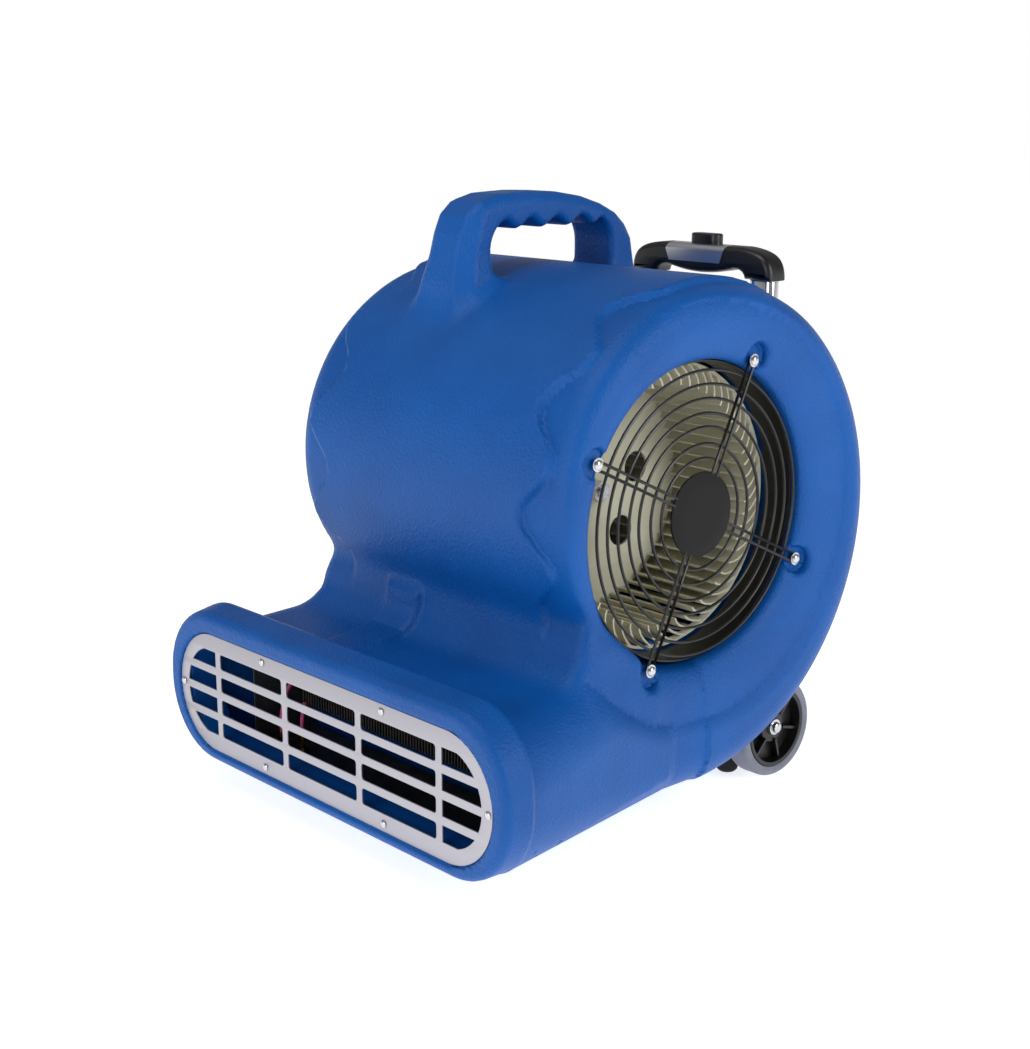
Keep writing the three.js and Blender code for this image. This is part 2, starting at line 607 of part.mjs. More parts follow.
function trolleyHandle() {
  const { x, y, sleeveW, sleeveD, bottom, top } = trolley;
  const sleeveWall = 1.5;
  const tubeW = sleeveW - 2 * sleeveWall - 2 * gap;
  const tubeD = sleeveD - 2 * sleeveWall - 2 * gap;
  const pinZ = top - 17;
  sides.forEach((side) => {
    const pinX = side * x - 4;
    const pinHole = cylinder('y', 3.4, y - 30, y, [pinX, 0, pinZ], 12);
    const sleeve = ovalTube(side * x, sleeveW, sleeveD, sleeveWall, bottom, top);
    piece(`trolley_sleeve_${sideName(side)}`, sleeve.subtract(pinHole), chrome);
    const tube = ovalTube(side * x, tubeW, tubeD, 1.5, bottom + 14, top + 14);
    piece(`trolley_tube_${sideName(side)}`, tube.subtract(pinHole), chrome);
    const face = y - tubeD / 2;
    const pin = cylinder('y', 3, face, face + 6, [pinX, 0, pinZ], 12);
    piece(`lock_pin_${sideName(side)}`, pin, zincPlate);
  });
  [['lower', 176], ['upper', 372]].forEach(([name, z]) => {
    let clamp = box(-108, 108, trolley.recessY + gap, y + sleeveD / 2 + 3.5, z - 14, z + 14);
    clamp = clamp.subtract(box(-x + 24, x - 24, y - 7, y + 30, z - 20, z + 20));
    sides.forEach((side) => {
      const around = roundedRect(side * x - sleeveW / 2 - gap, side * x + sleeveW / 2 + gap,
        y - sleeveD / 2 - gap, y + sleeveD / 2 + gap, 5);
      clamp = clamp.subtract(extrudeZ(around, z - 30, z + 30));
    });
    piece(`trolley_clamp_${name}`, clamp, blackPlastic);
  });
  grip(tubeW, tubeD);
}

function grip(tubeW, tubeD) {
  const { x, y, top } = trolley;
  const legBottom = top + 1;
  const beamTop = 522;
  const shape = new THREE.Shape();
  shape.moveTo(-97, legBottom);
  shape.bezierCurveTo(-97, legBottom + 24, -84, beamTop - 4, -52, beamTop);
  shape.lineTo(52, beamTop);
  shape.bezierCurveTo(84, beamTop - 4, 97, legBottom + 24, 97, legBottom);
  shape.lineTo(61, legBottom);
  shape.quadraticCurveTo(58, legBottom + 9, 46, legBottom + 8);
  shape.quadraticCurveTo(0, legBottom - 3, -46, legBottom + 8);
  shape.quadraticCurveTo(-58, legBottom + 9, -61, legBottom);
  const geometry = new THREE.ExtrudeGeometry(stepped(shape, 3), {
    depth: 14, bevelThickness: 7, bevelSize: 6, bevelOffset: -6, bevelSegments: 2,
  });
  geometry.applyMatrix4(alongBack).translate(0, y + 7, 0);
  let body = solid(geometry);
  sides.forEach((side) => {
    const socket = roundedRect(side * x - tubeW / 2 - gap, side * x + tubeW / 2 + gap,
      y - tubeD / 2 - gap, y + tubeD / 2 + gap, 4);
    body = body.subtract(extrudeZ(socket, top - 10, top + 14 + gap));
  });
  const well = roundedRect(-20, 20, y - 9, y + 9, 8.5);
  body = body.subtract(extrudeZ(well, beamTop - 10, beamTop + 10));
  const trimOutline = new THREE.Shape();
  trimOutline.moveTo(-45, beamTop - 19);
  trimOutline.lineTo(32, beamTop - 19);
  trimOutline.lineTo(38, beamTop - 7);
  trimOutline.lineTo(-47, beamTop - 7);
  const trim = solid(extrudeY(trimOutline, y - 14 - 1.2, y - 14 - gap));
  piece('trolley_grip', body, blackPlastic);
  piece('grip_trim', trim, brushedSteel);
  const button = roundedRect(-19, 19, y - 8, y + 8, 7.8);
  piece('release_button', extrudeZ(button, beamTop - 4, beamTop + 11, 1.5), blackPlastic);
}

housing();
outletGrille();
outletScrews();
sides.forEach((side) => {
  inletGuard(side);
  inletCollar(side);
});
impeller();
motor();
heater();
controls();
wheels();
feet();
trolleyHandle();

export default group;
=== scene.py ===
import json
from math import cos, pi, radians, sin, sqrt

import bmesh
import bpy
import numpy as np
from mathutils import Matrix, Vector

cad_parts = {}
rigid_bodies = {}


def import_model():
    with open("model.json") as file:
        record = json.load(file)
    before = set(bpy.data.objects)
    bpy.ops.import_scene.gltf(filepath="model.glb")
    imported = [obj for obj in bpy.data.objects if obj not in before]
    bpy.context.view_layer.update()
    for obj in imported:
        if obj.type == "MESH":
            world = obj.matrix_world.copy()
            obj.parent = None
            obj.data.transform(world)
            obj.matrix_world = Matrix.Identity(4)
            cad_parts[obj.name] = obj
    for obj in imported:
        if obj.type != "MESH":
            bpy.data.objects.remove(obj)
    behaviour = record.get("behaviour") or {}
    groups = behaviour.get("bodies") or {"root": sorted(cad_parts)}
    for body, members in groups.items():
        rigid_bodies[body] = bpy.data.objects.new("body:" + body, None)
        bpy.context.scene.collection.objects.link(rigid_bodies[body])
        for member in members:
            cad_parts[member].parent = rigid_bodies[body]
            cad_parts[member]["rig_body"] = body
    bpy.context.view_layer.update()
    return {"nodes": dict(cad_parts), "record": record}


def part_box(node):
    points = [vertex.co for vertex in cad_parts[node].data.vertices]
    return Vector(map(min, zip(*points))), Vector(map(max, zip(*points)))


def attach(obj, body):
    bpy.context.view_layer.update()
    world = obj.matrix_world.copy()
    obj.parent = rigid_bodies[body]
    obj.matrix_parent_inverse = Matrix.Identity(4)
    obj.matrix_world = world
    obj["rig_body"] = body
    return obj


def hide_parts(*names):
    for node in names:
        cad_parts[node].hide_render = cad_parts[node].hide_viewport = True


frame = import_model()
nodes = frame["nodes"]
mm = 0.001

# Places taken from the frame
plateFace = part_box("outlet_grille")[0].y
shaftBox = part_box("motor_shaft")
fanY = (shaftBox[0].y + shaftBox[1].y) / 2
fanZ = (shaftBox[0].z + shaftBox[1].z) / 2
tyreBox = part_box("tyre_right")
wheelY = (tyreBox[0].y + tyreBox[1].y) / 2
wheelZ = (tyreBox[0].z + tyreBox[1].z) / 2
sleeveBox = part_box("trolley_sleeve_right")
trolleyY = (sleeveBox[0].y + sleeveBox[1].y) / 2
sides = {"right": 1, "left": -1}


def linearColour(hexColour, alpha=1.0):
    channels = [int(hexColour[i:i + 2], 16) / 255 for i in (0, 2, 4)]
    linear = [c / 12.92 if c <= 0.04045 else ((c + 0.055) / 1.055) ** 2.4 for c in channels]
    return (*linear, alpha)


def addNode(tree, kind, settings, links=None):
    node = tree.nodes.new(kind)
    for key, value in settings.items():
        if key in node.inputs:
            node.inputs[key].default_value = value
        else:
            setattr(node, key, value)
    for key, socket in (links or {}).items():
        tree.links.new(socket, node.inputs[key])
    return node


def newMaterial(name, shader):
    material = bpy.data.materials.new(name)
    material.use_nodes = True
    tree = material.node_tree
    tree.nodes.clear()
    surface = addNode(tree, "ShaderNodeBsdfPrincipled", shader)
    addNode(tree, "ShaderNodeOutputMaterial", {}, {"Surface": surface.outputs["BSDF"]})
    place = addNode(tree, "ShaderNodeTexCoord", {}).outputs["Object"]
    return material, tree, surface, place


def addGrain(tree, surface, place, grainMm, heightMm, strength, stretch=None, detail=2.0):
    # grainMm is the spacing of the bumps and heightMm is how high they stand
    if stretch:
        place = addNode(tree, "ShaderNodeMapping", {"Scale": stretch}, {"Vector": place}).outputs["Vector"]
    noise = addNode(tree, "ShaderNodeTexNoise", {"Scale": 1 / (grainMm * mm), "Detail": detail},
                    {"Vector": place})
    bump = addNode(tree, "ShaderNodeBump", {"Strength": strength, "Distance": heightMm * mm},
                   {"Height": noise.outputs["Fac"]})
    tree.links.new(bump.outputs["Normal"], surface.inputs["Normal"])


def addTwoTones(tree, surface, place, patchMm, darkHex, lightHex):
    noise = addNode(tree, "ShaderNodeTexNoise", {"Scale": 1 / (patchMm * mm), "Detail": 3.0},
                    {"Vector": place})
    spread = addNode(tree, "ShaderNodeMapRange", {"From Min": 0.35, "From Max": 0.65},
                     {"Value": noise.outputs["Fac"]})
    mix = addNode(tree, "ShaderNodeMix", {"data_type": "RGBA"}, {"Factor": spread.outputs["Result"]})
    mix.inputs[6].default_value = linearColour(darkHex)
    mix.inputs[7].default_value = linearColour(lightHex)
    tree.links.new(mix.outputs[2], surface.inputs["Base Color"])


def addRoughnessRange(tree, surface, place, patchMm, low, high):
    noise = addNode(tree, "ShaderNodeTexNoise", {"Scale": 1 / (patchMm * mm), "Detail": 2.0},
                    {"Vector": place})
    spread = addNode(tree, "ShaderNodeMapRange", {"From Min": 0.3, "From Max": 0.7, "To Min": low,
                                                   "To Max": high}, {"Value": noise.outputs["Fac"]})
    tree.links.new(spread.outputs["Result"], surface.inputs["Roughness"])


def mouldedPolyethylene():
    # Rotationally moulded polyethylene: a fine orange-peel skin that breaks up each highlight
    look = {"peel": 2.6, "peelHeight": 0.9, "dark": "004b96", "light": "0052a0", "roughness": 0.45}
    material, tree, surface, place = newMaterial("mouldedPolyethylene", {
        "Roughness": look["roughness"], "IOR": 1.5, "Specular IOR Level": 0.25})
    addTwoTones(tree, surface, place, 90, look["dark"], look["light"])
    addGrain(tree, surface, place, look["peel"], look["peelHeight"], 1.0, detail=3.0)
    return material


def creamNylon():
    # Injection moulded nylon, slightly yellowed and a little translucent at its edges
    material, tree, surface, place = newMaterial("creamNylon", {
        "Roughness": 0.55, "IOR": 1.53, "Subsurface Weight": 0.1, "Subsurface Scale": 0.004})
    addTwoTones(tree, surface, place, 60, "cfccb4", "dbd8c4")
    addGrain(tree, surface, place, 1.4, 0.1, 0.3)
    return material


def blackAbs():
    # Moulded ABS with a fine spark-eroded texture, satin
    material, tree, surface, place = newMaterial("blackAbs", {
        "Base Color": linearColour("0d0d0f"), "IOR": 1.5})
    addRoughnessRange(tree, surface, place, 14, 0.3, 0.4)
    addGrain(tree, surface, place, 1.1, 0.12, 0.35)
    return material


def powderCoat():
    # Powder coated wire: near black with a small orange peel
    material, tree, surface, place = newMaterial("powderCoat", {
        "Base Color": linearColour("0b0c0e"), "Roughness": 0.32, "IOR": 1.5})
    addGrain(tree, surface, place, 1.5, 0.1, 0.3)
    return material


def mattCharcoal():
    # The guard's middle disc: flat charcoal paint
    material, tree, surface, place = newMaterial("mattCharcoal", {
        "Base Color": linearColour("080708"), "Roughness": 0.6, "Specular IOR Level": 0.25})
    addGrain(tree, surface, place, 1.0, 0.08, 0.3)
    return material


def brushedStainless():
    # Stainless sheet brushed along its length: a long grain that smears highlights across it
    material, tree, surface, place = newMaterial("brushedStainless", {
        "Base Color": linearColour("b3b1b8"), "Metallic": 0.85, "Roughness": 0.48})
    addGrain(tree, surface, place, 0.9, 0.06, 0.35, stretch=(0.03, 1.0, 1.0))
    return material


def satinSteel():
    # Bright steel with a fine satin, so that highlights stay soft
    material, tree, surface, place = newMaterial("satinSteel", {
        "Base Color": linearColour("c9c9cc"), "Metallic": 1.0, "Roughness": 0.3})
    addGrain(tree, surface, place, 0.8, 0.04, 0.3, stretch=(0.05, 1.0, 1.0))
    return material


def zincPlate():
    # Bright zinc on turned steel
    material, tree, surface, place = newMaterial("zincPlate", {
        "Base Color": linearColour("c6c8cb"), "Metallic": 1.0})
    addRoughnessRange(tree, surface, place, 6, 0.18, 0.3)
    return material


def chromeTube():
    # Bright chrome on drawn tube, nearly a mirror
    material, tree, surface, place = newMaterial("chromeTube", {
        "Base Color": linearColour("dcdee2"), "Metallic": 1.0})
    addRoughnessRange(tree, surface, place, 40, 0.05, 0.09)
    return material


def castAluminium():
    # Sand-cast aluminium: dull, with a coarse skin
    material, tree, surface, place = newMaterial("castAluminium", {
        "Base Color": linearColour("8f9296"), "Metallic": 0.9, "Roughness": 0.55})
    addGrain(tree, surface, place, 2.0, 0.25, 0.5)
    return material


def galvanisedSheet():
    # Galvanised steel sheet, dulled by heat
    material, tree, surface, place = newMaterial("galvanisedSheet", {
        "Metallic": 0.7, "Roughness": 0.5})
    addTwoTones(tree, surface, place, 18, "4b4d4c", "5f6261")
    return material


def oxidisedFins():
    # Heater fins darkened by oxide, brown-black
    material, tree, surface, place = newMaterial("oxidisedFins", {
        "Metallic": 0.4, "Roughness": 0.5})
    addTwoTones(tree, surface, place, 9, "15120f", "2b2620")
    return material


def greyTyreRubber():
    # Grey thermoplastic rubber, slightly violet
    material, tree, surface, place = newMaterial("greyTyreRubber", {"Roughness": 0.6, "IOR": 1.52})
    addTwoTones(tree, surface, place, 20, "6d6f7c", "777986")
    addGrain(tree, surface, place, 1.2, 0.1, 0.4)
    return material


def blackRubber():
    # Moulded rubber feet, matt
    material, tree, surface, place = newMaterial("blackRubber", {
        "Base Color": linearColour("121213"), "Roughness": 0.8, "IOR": 1.52})
    addGrain(tree, surface, place, 1.0, 0.1, 0.4)
    return material


def drawnBrass():
    # Yellow brass with slightly uneven shine
    material, tree, surface, place = newMaterial("drawnBrass", {
        "Base Color": linearColour("b48f45"), "Metallic": 1.0})
    addRoughnessRange(tree, surface, place, 5, 0.22, 0.36)
    return material


def pinkSilicone():
    # Silicone sleeve over a heater lead, soft sheen
    material, tree, surface, place = newMaterial("pinkSilicone", {"Roughness": 0.5, "IOR": 1.43})
    addTwoTones(tree, surface, place, 10, "c2447c", "d2558c")
    return material


def redPolycarbonate():
    # Rocker cap: gloss red polycarbonate
    material, tree, surface, place = newMaterial("redPolycarbonate", {
        "Base Color": linearColour("a81c18"), "IOR": 1.58})
    addRoughnessRange(tree, surface, place, 8, 0.12, 0.2)
    return material


finishes = {
    "housing_plastic": mouldedPolyethylene(), "fan_plastic": creamNylon(), "black_plastic": blackAbs(),
    "coated_wire": powderCoat(), "steel_plate": brushedStainless(), "zinc": zincPlate(),
    "chrome_tube": chromeTube(), "cast_alloy": castAluminium(), "heater_fins": oxidisedFins(),
    "tyre_rubber": greyTyreRubber(), "foot_rubber": blackRubber(), "brass": drawnBrass(),
    "silicone": pinkSilicone(), "red_plastic": redPolycarbonate(),
}
charcoal = mattCharcoal()
galvanised = galvanisedSheet()
satin = satinSteel()
for part in frame["record"]["subparts"]:
    cadMesh = nodes[part["node"]].data
    cadMesh.materials.clear()
    cadMesh.materials.append(finishes[part["material_slot"]])
nodes["heater_tray"].data.materials[0] = galvanised
print("materials done")


def addPiece(name, mesh, material, body, replaced=(), sharp=35):
    mesh.materials.clear()
    mesh.materials.append(material)
    mesh.shade_smooth()
    mesh.set_sharp_from_angle(angle=radians(sharp))
    piece = bpy.data.objects.new(name, mesh)
    bpy.context.scene.collection.objects.link(piece)
    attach(piece, body)
    if replaced:
        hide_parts(*replaced)
    return piece


def finishBmesh(bm, name, turnOut=True):
    bmesh.ops.remove_doubles(bm, verts=bm.verts, dist=0.01 * mm)
    if turnOut:
        bmesh.ops.recalc_face_normals(bm, faces=bm.faces)
    mesh = bpy.data.meshes.new(name)
    bm.to_mesh(mesh)
    bm.free()
    return mesh


def turnProfile(bm, profile, centre, steps, axis=(1, 0, 0)):
    # profile lists (radius, distance along the axis) in millimetres, and is closed by a line back to
    # its start unless both its ends lie on the axis
    along = Vector(axis)
    out = Vector((0, 0, 1)) if abs(along.z) < 0.5 else Vector((1, 0, 0))
    verts = [bm.verts.new(Vector(centre) + along * x * mm + out * r * mm) for r, x in profile]
    edges = [bm.edges.new(pair) for pair in zip(verts, verts[1:])]
    if profile[0][0] or profile[-1][0]:
        edges.append(bm.edges.new((verts[-1], verts[0])))
    bmesh.ops.spin(bm, geom=verts + edges, cent=centre, axis=axis, dvec=(0, 0, 0), angle=2 * pi,
                   steps=steps, use_merge=True, use_duplicate=False)


def addRod(bm, start, end, radius, segments=12):
    start, end = Vector(start), Vector(end)
    turn = (end - start).to_track_quat("Z", "Y").to_matrix().to_4x4()
    bmesh.ops.create_cone(bm, cap_ends=True, segments=segments, radius1=radius, radius2=radius,
                          depth=(end - start).length, matrix=Matrix.Translation((start + end) / 2) @ turn)


def addBlock(bm, low, high):
    low, high = Vector(low), Vector(high)
    size = high - low
    matrix = Matrix.Translation((low + high) / 2) @ Matrix.Diagonal((*size, 1))
    return bmesh.ops.create_cube(bm, size=1, matrix=matrix)["verts"]


def arc(cx, cy, r, start, end, steps=8):
    turns = [radians(start + (end - start) * i / steps) for i in range(steps + 1)]
    return [(cx + r * cos(t), cy + r * sin(t)) for t in turns]


def roundedOutline(x0, x1, y0, y1, r, steps=8):
    return (arc(x1 - r, y1 - r, r, 0, 90, steps) + arc(x0 + r, y1 - r, r, 90, 180, steps)
            + arc(x0 + r, y0 + r, r, 180, 270, steps) + arc(x1 - r, y0 + r, r, 270, 360, steps))


def sheetFromOutlines(name, outlines, halfThick, roundEdge, place, roundSteps=3):
    # flat outlines in millimetres, the first one outside and the rest holes, given a thickness
    curve = bpy.data.curves.new(name, "CURVE")
    curve.dimensions = "2D"
    curve.fill_mode = "BOTH"
    curve.extrude = (halfThick - roundEdge) * mm
    curve.bevel_depth = roundEdge * mm
    curve.offset = -roundEdge * mm
    curve.bevel_resolution = roundSteps
    for outline in outlines:
        spline = curve.splines.new("POLY")
        spline.points.add(len(outline) - 1)
        for point, (x, y) in zip(spline.points, outline):
            point.co = (x * mm, y * mm, 0, 1)
        spline.use_cyclic_u = True
    holder = bpy.data.objects.new(name, curve)
    bpy.context.scene.collection.objects.link(holder)
    bpy.context.view_layer.update()
    mesh = bpy.data.meshes.new_from_object(holder.evaluated_get(bpy.context.evaluated_depsgraph_get()))
    bpy.data.objects.remove(holder)
    mesh.transform(place)
    bm = bmesh.new()
    bm.from_mesh(mesh)
    bpy.data.meshes.remove(mesh)
    return finishBmesh(bm, name)


def standing(y):
    # outlines drawn in X and Z, with their front towards -Y
    return Matrix.Translation((0, y, 0)) @ Matrix.Rotation(pi / 2, 4, "X")


def facingRight(x):
    # outlines drawn in Y and Z, at a distance along X
    return Matrix.Translation((x, 0, 0)) @ Matrix(((0, 0, 1, 0), (1, 0, 0, 0), (0, 1, 0, 0), (0, 0, 0, 1)))


# One moulded skin with every join blended, which no operator gives, so it is drawn from the
# distance to its surface: lengths are in millimetres, y from the plate's face and z from the floor.
housing = {
    "cell": 4.8, "wall": 7.0,
    "drum": {"y": (fanY - plateFace) / mm, "z": fanZ / mm, "start": 160.0, "growth": 24.4, "easing": 0.942,
             "tongue": 220.0, "halfWidth": 208.0, "roll": 36.0},
    "wave": {"middle": 157.5, "swing": 16.5, "crest": 128.0, "pitch": 31.0, "first": 97.0, "last": 206.0,
             "height": 6.5, "slope": 6.5},
    "duct": {"front": 30.0, "meets": 255.0, "wide": 247.0, "narrow": 205.0, "bottom": 27.0, "rise": 8.0,
             "top": 160.0, "topRise": 8.0, "corner": 60.0, "cornerBack": 36.0},
    "nose": {"halfWidth": 257.0, "front": -2.0, "back": 34.0, "bottom": 29.0, "top": 180.0, "taper": 7.0,
             "corner": 72.0, "edge": 8.0},
    "plate": {"z": 101.0, "straight": 178.0, "radius": 59.5, "opening": 47.0, "recess": 1.9},
    "mouth": {"lip": 142.0, "lipX": 186.0, "crest": 195.0, "innerX": 149.0},
    "handle": {"x": -57.0, "half": 30.0, "edge": 13.0, "flare": 9.0},
    "rib": {"x": -55.0, "half": 25.0},
    "throat": {"foot": 135.0, "footZ": 168.0, "along": 0.946, "up": 0.323, "top": 211.0, "front": 120.0,
               "back": 230.0, "low": 70.0, "half": 203.0, "blend": 24.0},
    "legs": {"x": 101.0, "halfX": 39.0, "y": 430.0, "halfY": 42.0, "z": 74.0, "halfZ": 56.0},
    "seat": {"first": -25.8, "circle": 155.0, "radius": 13.0, "floor": 189.0},
    "cavity": {"front": 38.0, "back": 296.0, "drumHalf": 152.0, "drumExtra": 4.0, "half": 178.0,
               "flare": 60.0, "narrowFrom": 110.0, "narrowTo": 170.0, "last": 484.0},
    "recess": {"y": 494.0, "half": 122.0},
    "pocket": {"x": -156.0, "halfX": 28.0, "z": 299.0, "halfZ": 57.0, "y": 520.0},
    "well": {"x": 158.5, "half": 18.0, "radius": 55.5},
}


def smoothMin(a, b, blend):
    overlap = np.maximum(blend - np.abs(a - b), 0) / blend
    return np.minimum(a, b) - overlap * overlap * blend / 4


def smoothMax(a, b, blend):
    return -smoothMin(-a, -b, blend)


def cornered(a, b, r):
    # two distances met at a corner rounded to radius r
    outside = np.hypot(np.maximum(a + r, 0), np.maximum(b + r, 0))
    return outside + np.minimum(np.maximum(a + r, b + r), 0) - r


def polygonDistance(u, v, points):
    best = np.full(u.shape, 1e9)
    inside = np.zeros(u.shape, bool)
    for (u0, v0), (u1, v1) in zip(points, points[1:] + points[:1]):
        du, dv = u1 - u0, v1 - v0
        share = np.clip(((u - u0) * du + (v - v0) * dv) / (du * du + dv * dv), 0, 1)
        best = np.minimum(best, (u - u0 - share * du) ** 2 + (v - v0 - share * dv) ** 2)
        if dv:
            crosses = ((v0 <= v) & (v < v1)) | ((v1 <= v) & (v < v0))
            inside ^= crosses & (u < u0 + du * (v - v0) / dv)
    return np.where(inside, -1, 1) * np.sqrt(best)


def easeStep(share):
    share = np.clip(share, 0, 1)
    return share * share * (3 - 2 * share)


def drumRadius(angle):
    drum = housing["drum"]
    turn = np.radians(drum["tongue"] - angle)
    return drum["start"] + drum["growth"] * turn - drum["easing"] * turn * turn


def aroundDrum(y, z):
    drum = housing["drum"]
    angle = np.degrees(np.arctan2(z - drum["z"], y - drum["y"]))
    return np.hypot(y - drum["y"], z - drum["z"]), np.mod(angle + 90, 360) - 90


def drumDistance(x, y, z):
    drum, wave = housing["drum"], housing["wave"]
    radius, angle = aroundDrum(y, z)
    waveAngle = np.clip(angle, wave["first"], wave["last"])
    edge = wave["middle"] + wave["swing"] * np.cos(2 * pi * (waveAngle - wave["crest"]) / wave["pitch"])
    raised = easeStep((edge - np.abs(x)) / wave["slope"] + 0.5) - 0.5
    fade = easeStep((angle - 45) / 35)
    skin = drumRadius(angle) + raised * wave["height"] * fade
    return cornered(radius - skin, np.abs(x) - drum["halfWidth"], drum["roll"])


def ductSection(x, y, z, inset):
    duct = housing["duct"]
    along = np.clip((y - duct["front"]) / (duct["meets"] - duct["front"]), 0, 1)
    width = duct["wide"] + (duct["narrow"] - duct["wide"]) * along - inset
    bottom = duct["bottom"] + duct["rise"] * along + inset
    top = duct["top"] + duct["topRise"] * np.clip((y - duct["front"]) / 100, 0, 1) - inset
    corner = duct["corner"] + (duct["cornerBack"] - duct["corner"]) * along - inset
    side = np.abs(x) - width
    height = np.abs(z - (top + bottom) / 2) - (top - bottom) / 2
    return cornered(side, height, corner)


def noseDistance(x, y, z):
    nose = housing["nose"]
    top = nose["top"] + nose["taper"] * np.clip((y - nose["front"]) / (nose["back"] - nose["front"]), 0, 1)
    height = np.abs(z - (top + nose["bottom"]) / 2) - (top - nose["bottom"]) / 2
    section = cornered(np.abs(x) - nose["halfWidth"], height, nose["corner"])
    middle, half = (nose["front"] + nose["back"]) / 2, (nose["back"] - nose["front"]) / 2
    return cornered(section, np.abs(y - middle) - half, nose["edge"])


def handleDistance(x, y, z):
    shape = housing["handle"]
    crown = [(188, 440), (190, 480), (193, 499), (199, 520), (206, 545), (214, 563), (228, 575), (252, 581),
             (292, 582.5), (327, 581), (361, 575.5), (389, 567), (408, 558), (421, 546.5), (430, 532),
             (437, 495), (440, 440)]
    outline = polygonDistance(y, z, crown)
    flare = shape["flare"] * easeStep((530 - z) / 60) * (y < 300)
    frontEdge = 190 + 0.25 * (z - 480)
    leg = cornered(outline, np.abs(x - shape["x"]) - shape["half"] - flare, shape["edge"])
    chamfer = ((x - shape["x"] - shape["half"] - flare) - (y - frontEdge)) * sqrt(0.5) + 10
    leg = smoothMax(leg, chamfer, 3)
    roof = 552 + 4.5 * np.cos(2 * pi * (y - 254) / 34)
    opening = cornered(np.abs(y - 317) - 80, np.abs(z - 510) - 48, 30)
    opening = smoothMax(opening, z - roof, 3)
    return smoothMax(leg, -opening, 9)


def ribDistance(x, y, z):
    shape = housing["rib"]
    outline = polygonDistance(y, z, [(38, 150), (45, 161), (88, 168), (121, 174), (132, 182), (137, 194),
                                     (138, 206), (146, 213), (180, 213), (180, 150)])
    return cornered(outline, np.abs(x - shape["x"]) - shape["half"], 5)


def addLocal(body, x, y, z, low, high, distance, blend):
    # blends a small solid in, worked out only near it
    near = ((x > low[0]) & (x < high[0]) & (y > low[1]) & (y < high[1]) & (z > low[2]) & (z < high[2]))
    if near.any():
        body[near] = smoothMin(body[near], distance(x[near], y[near], z[near]), blend)
    return body


def mouthDistance(x, y, z):
    # above zero in the air of an inlet: a quarter ellipse from the lip out to the crest
    mouth, drum = housing["mouth"], housing["drum"]
    radius = np.hypot(y - drum["y"], z - drum["z"])
    wide, deep = mouth["crest"] - mouth["lip"], drum["halfWidth"] - mouth["lipX"]
    u = np.maximum(mouth["crest"] - radius, 0)
    v = np.maximum(np.abs(x) - mouth["lipX"], 0)
    size = np.sqrt((u / wide) ** 2 + (v / deep) ** 2)
    slope = np.sqrt((u / wide ** 2) ** 2 + (v / deep ** 2) ** 2)
    bell = np.where(slope > 1e-9, size * (size - 1) / np.maximum(slope, 1e-9), -deep)
    bell = bell - 1.5 * np.maximum(radius - mouth["crest"], 0)
    return np.minimum(bell, np.abs(x) - mouth["innerX"])


def throatDistance(x, y, z):
    # the leaning band between the duct's top and the front of the drum
    throat = housing["throat"]
    lean = (throat["foot"] - y) * throat["along"] + (z - throat["footZ"]) * throat["up"]
    band = np.maximum(smoothMax(lean, z - throat["top"], 14), throat["front"] - y)
    band = cornered(band, np.abs(x) - throat["half"], 24)
    return np.maximum(np.maximum(band, y - throat["back"]), throat["low"] - z)


def cavityDistance(x, y, z, mouth):
    # the air inside: the duct's and the drum's, kept two walls away from the inlets
    cavity, wall = housing["cavity"], housing["wall"]
    span = cavity["narrowTo"] - cavity["narrowFrom"]
    thicker = wall * (1 + np.clip((y - cavity["narrowFrom"]) / span, 0, 1))
    tube = np.maximum(ductSection(x, y, z, thicker), cavity["front"] - y)
    side = np.abs(x) - cavity["half"] - cavity["flare"] * np.clip((cavity["narrowTo"] - y) / span, 0, 1)
    tube = np.maximum(tube, np.maximum(y - cavity["back"], side))
    radius, angle = aroundDrum(y, z)
    snail = radius - drumRadius(angle) + wall + cavity["drumExtra"]
    hollow = np.minimum(tube, np.maximum(snail, np.abs(x) - cavity["drumHalf"]))
    hollow = np.maximum(hollow, np.minimum(mouth + 2 * wall, radius - housing["mouth"]["lip"]))
    return np.maximum(hollow, y - cavity["last"])


def cutOutlet(body, x, y, z):
    # the seat of the plate, then the opening behind it
    plate = housing["plate"]
    reach = np.hypot(np.maximum(np.abs(x) - plate["straight"], 0), z - plate["z"])
    body = smoothMax(body, -np.maximum(reach - plate["radius"] - 1.2, y - plate["recess"]), 1.5)
    return np.maximum(body, -np.maximum(reach - plate["opening"], y - 45))


def cutBack(body, x, y, z):
    # the flat for the trolley handle, the pocket of the control panel and the wheel wells
    flat, panel, well = housing["recess"], housing["pocket"], housing["well"]
    recess = smoothMax(flat["y"] - y, np.abs(x) - flat["half"], 10)
    body = smoothMax(body, -recess, 6)
    pocket = cornered(np.abs(x - panel["x"]) - panel["halfX"], np.abs(z - panel["z"]) - panel["halfZ"], 8)
    body = smoothMax(body, -np.maximum(pocket, panel["y"] - y), 3)
    wheelReach = np.hypot(y - (wheelY - plateFace) / mm, z - wheelZ / mm)
    space = np.maximum(wheelReach - well["radius"], np.abs(np.abs(x) - well["x"]) - well["half"])
    return smoothMax(body, -space, 3)


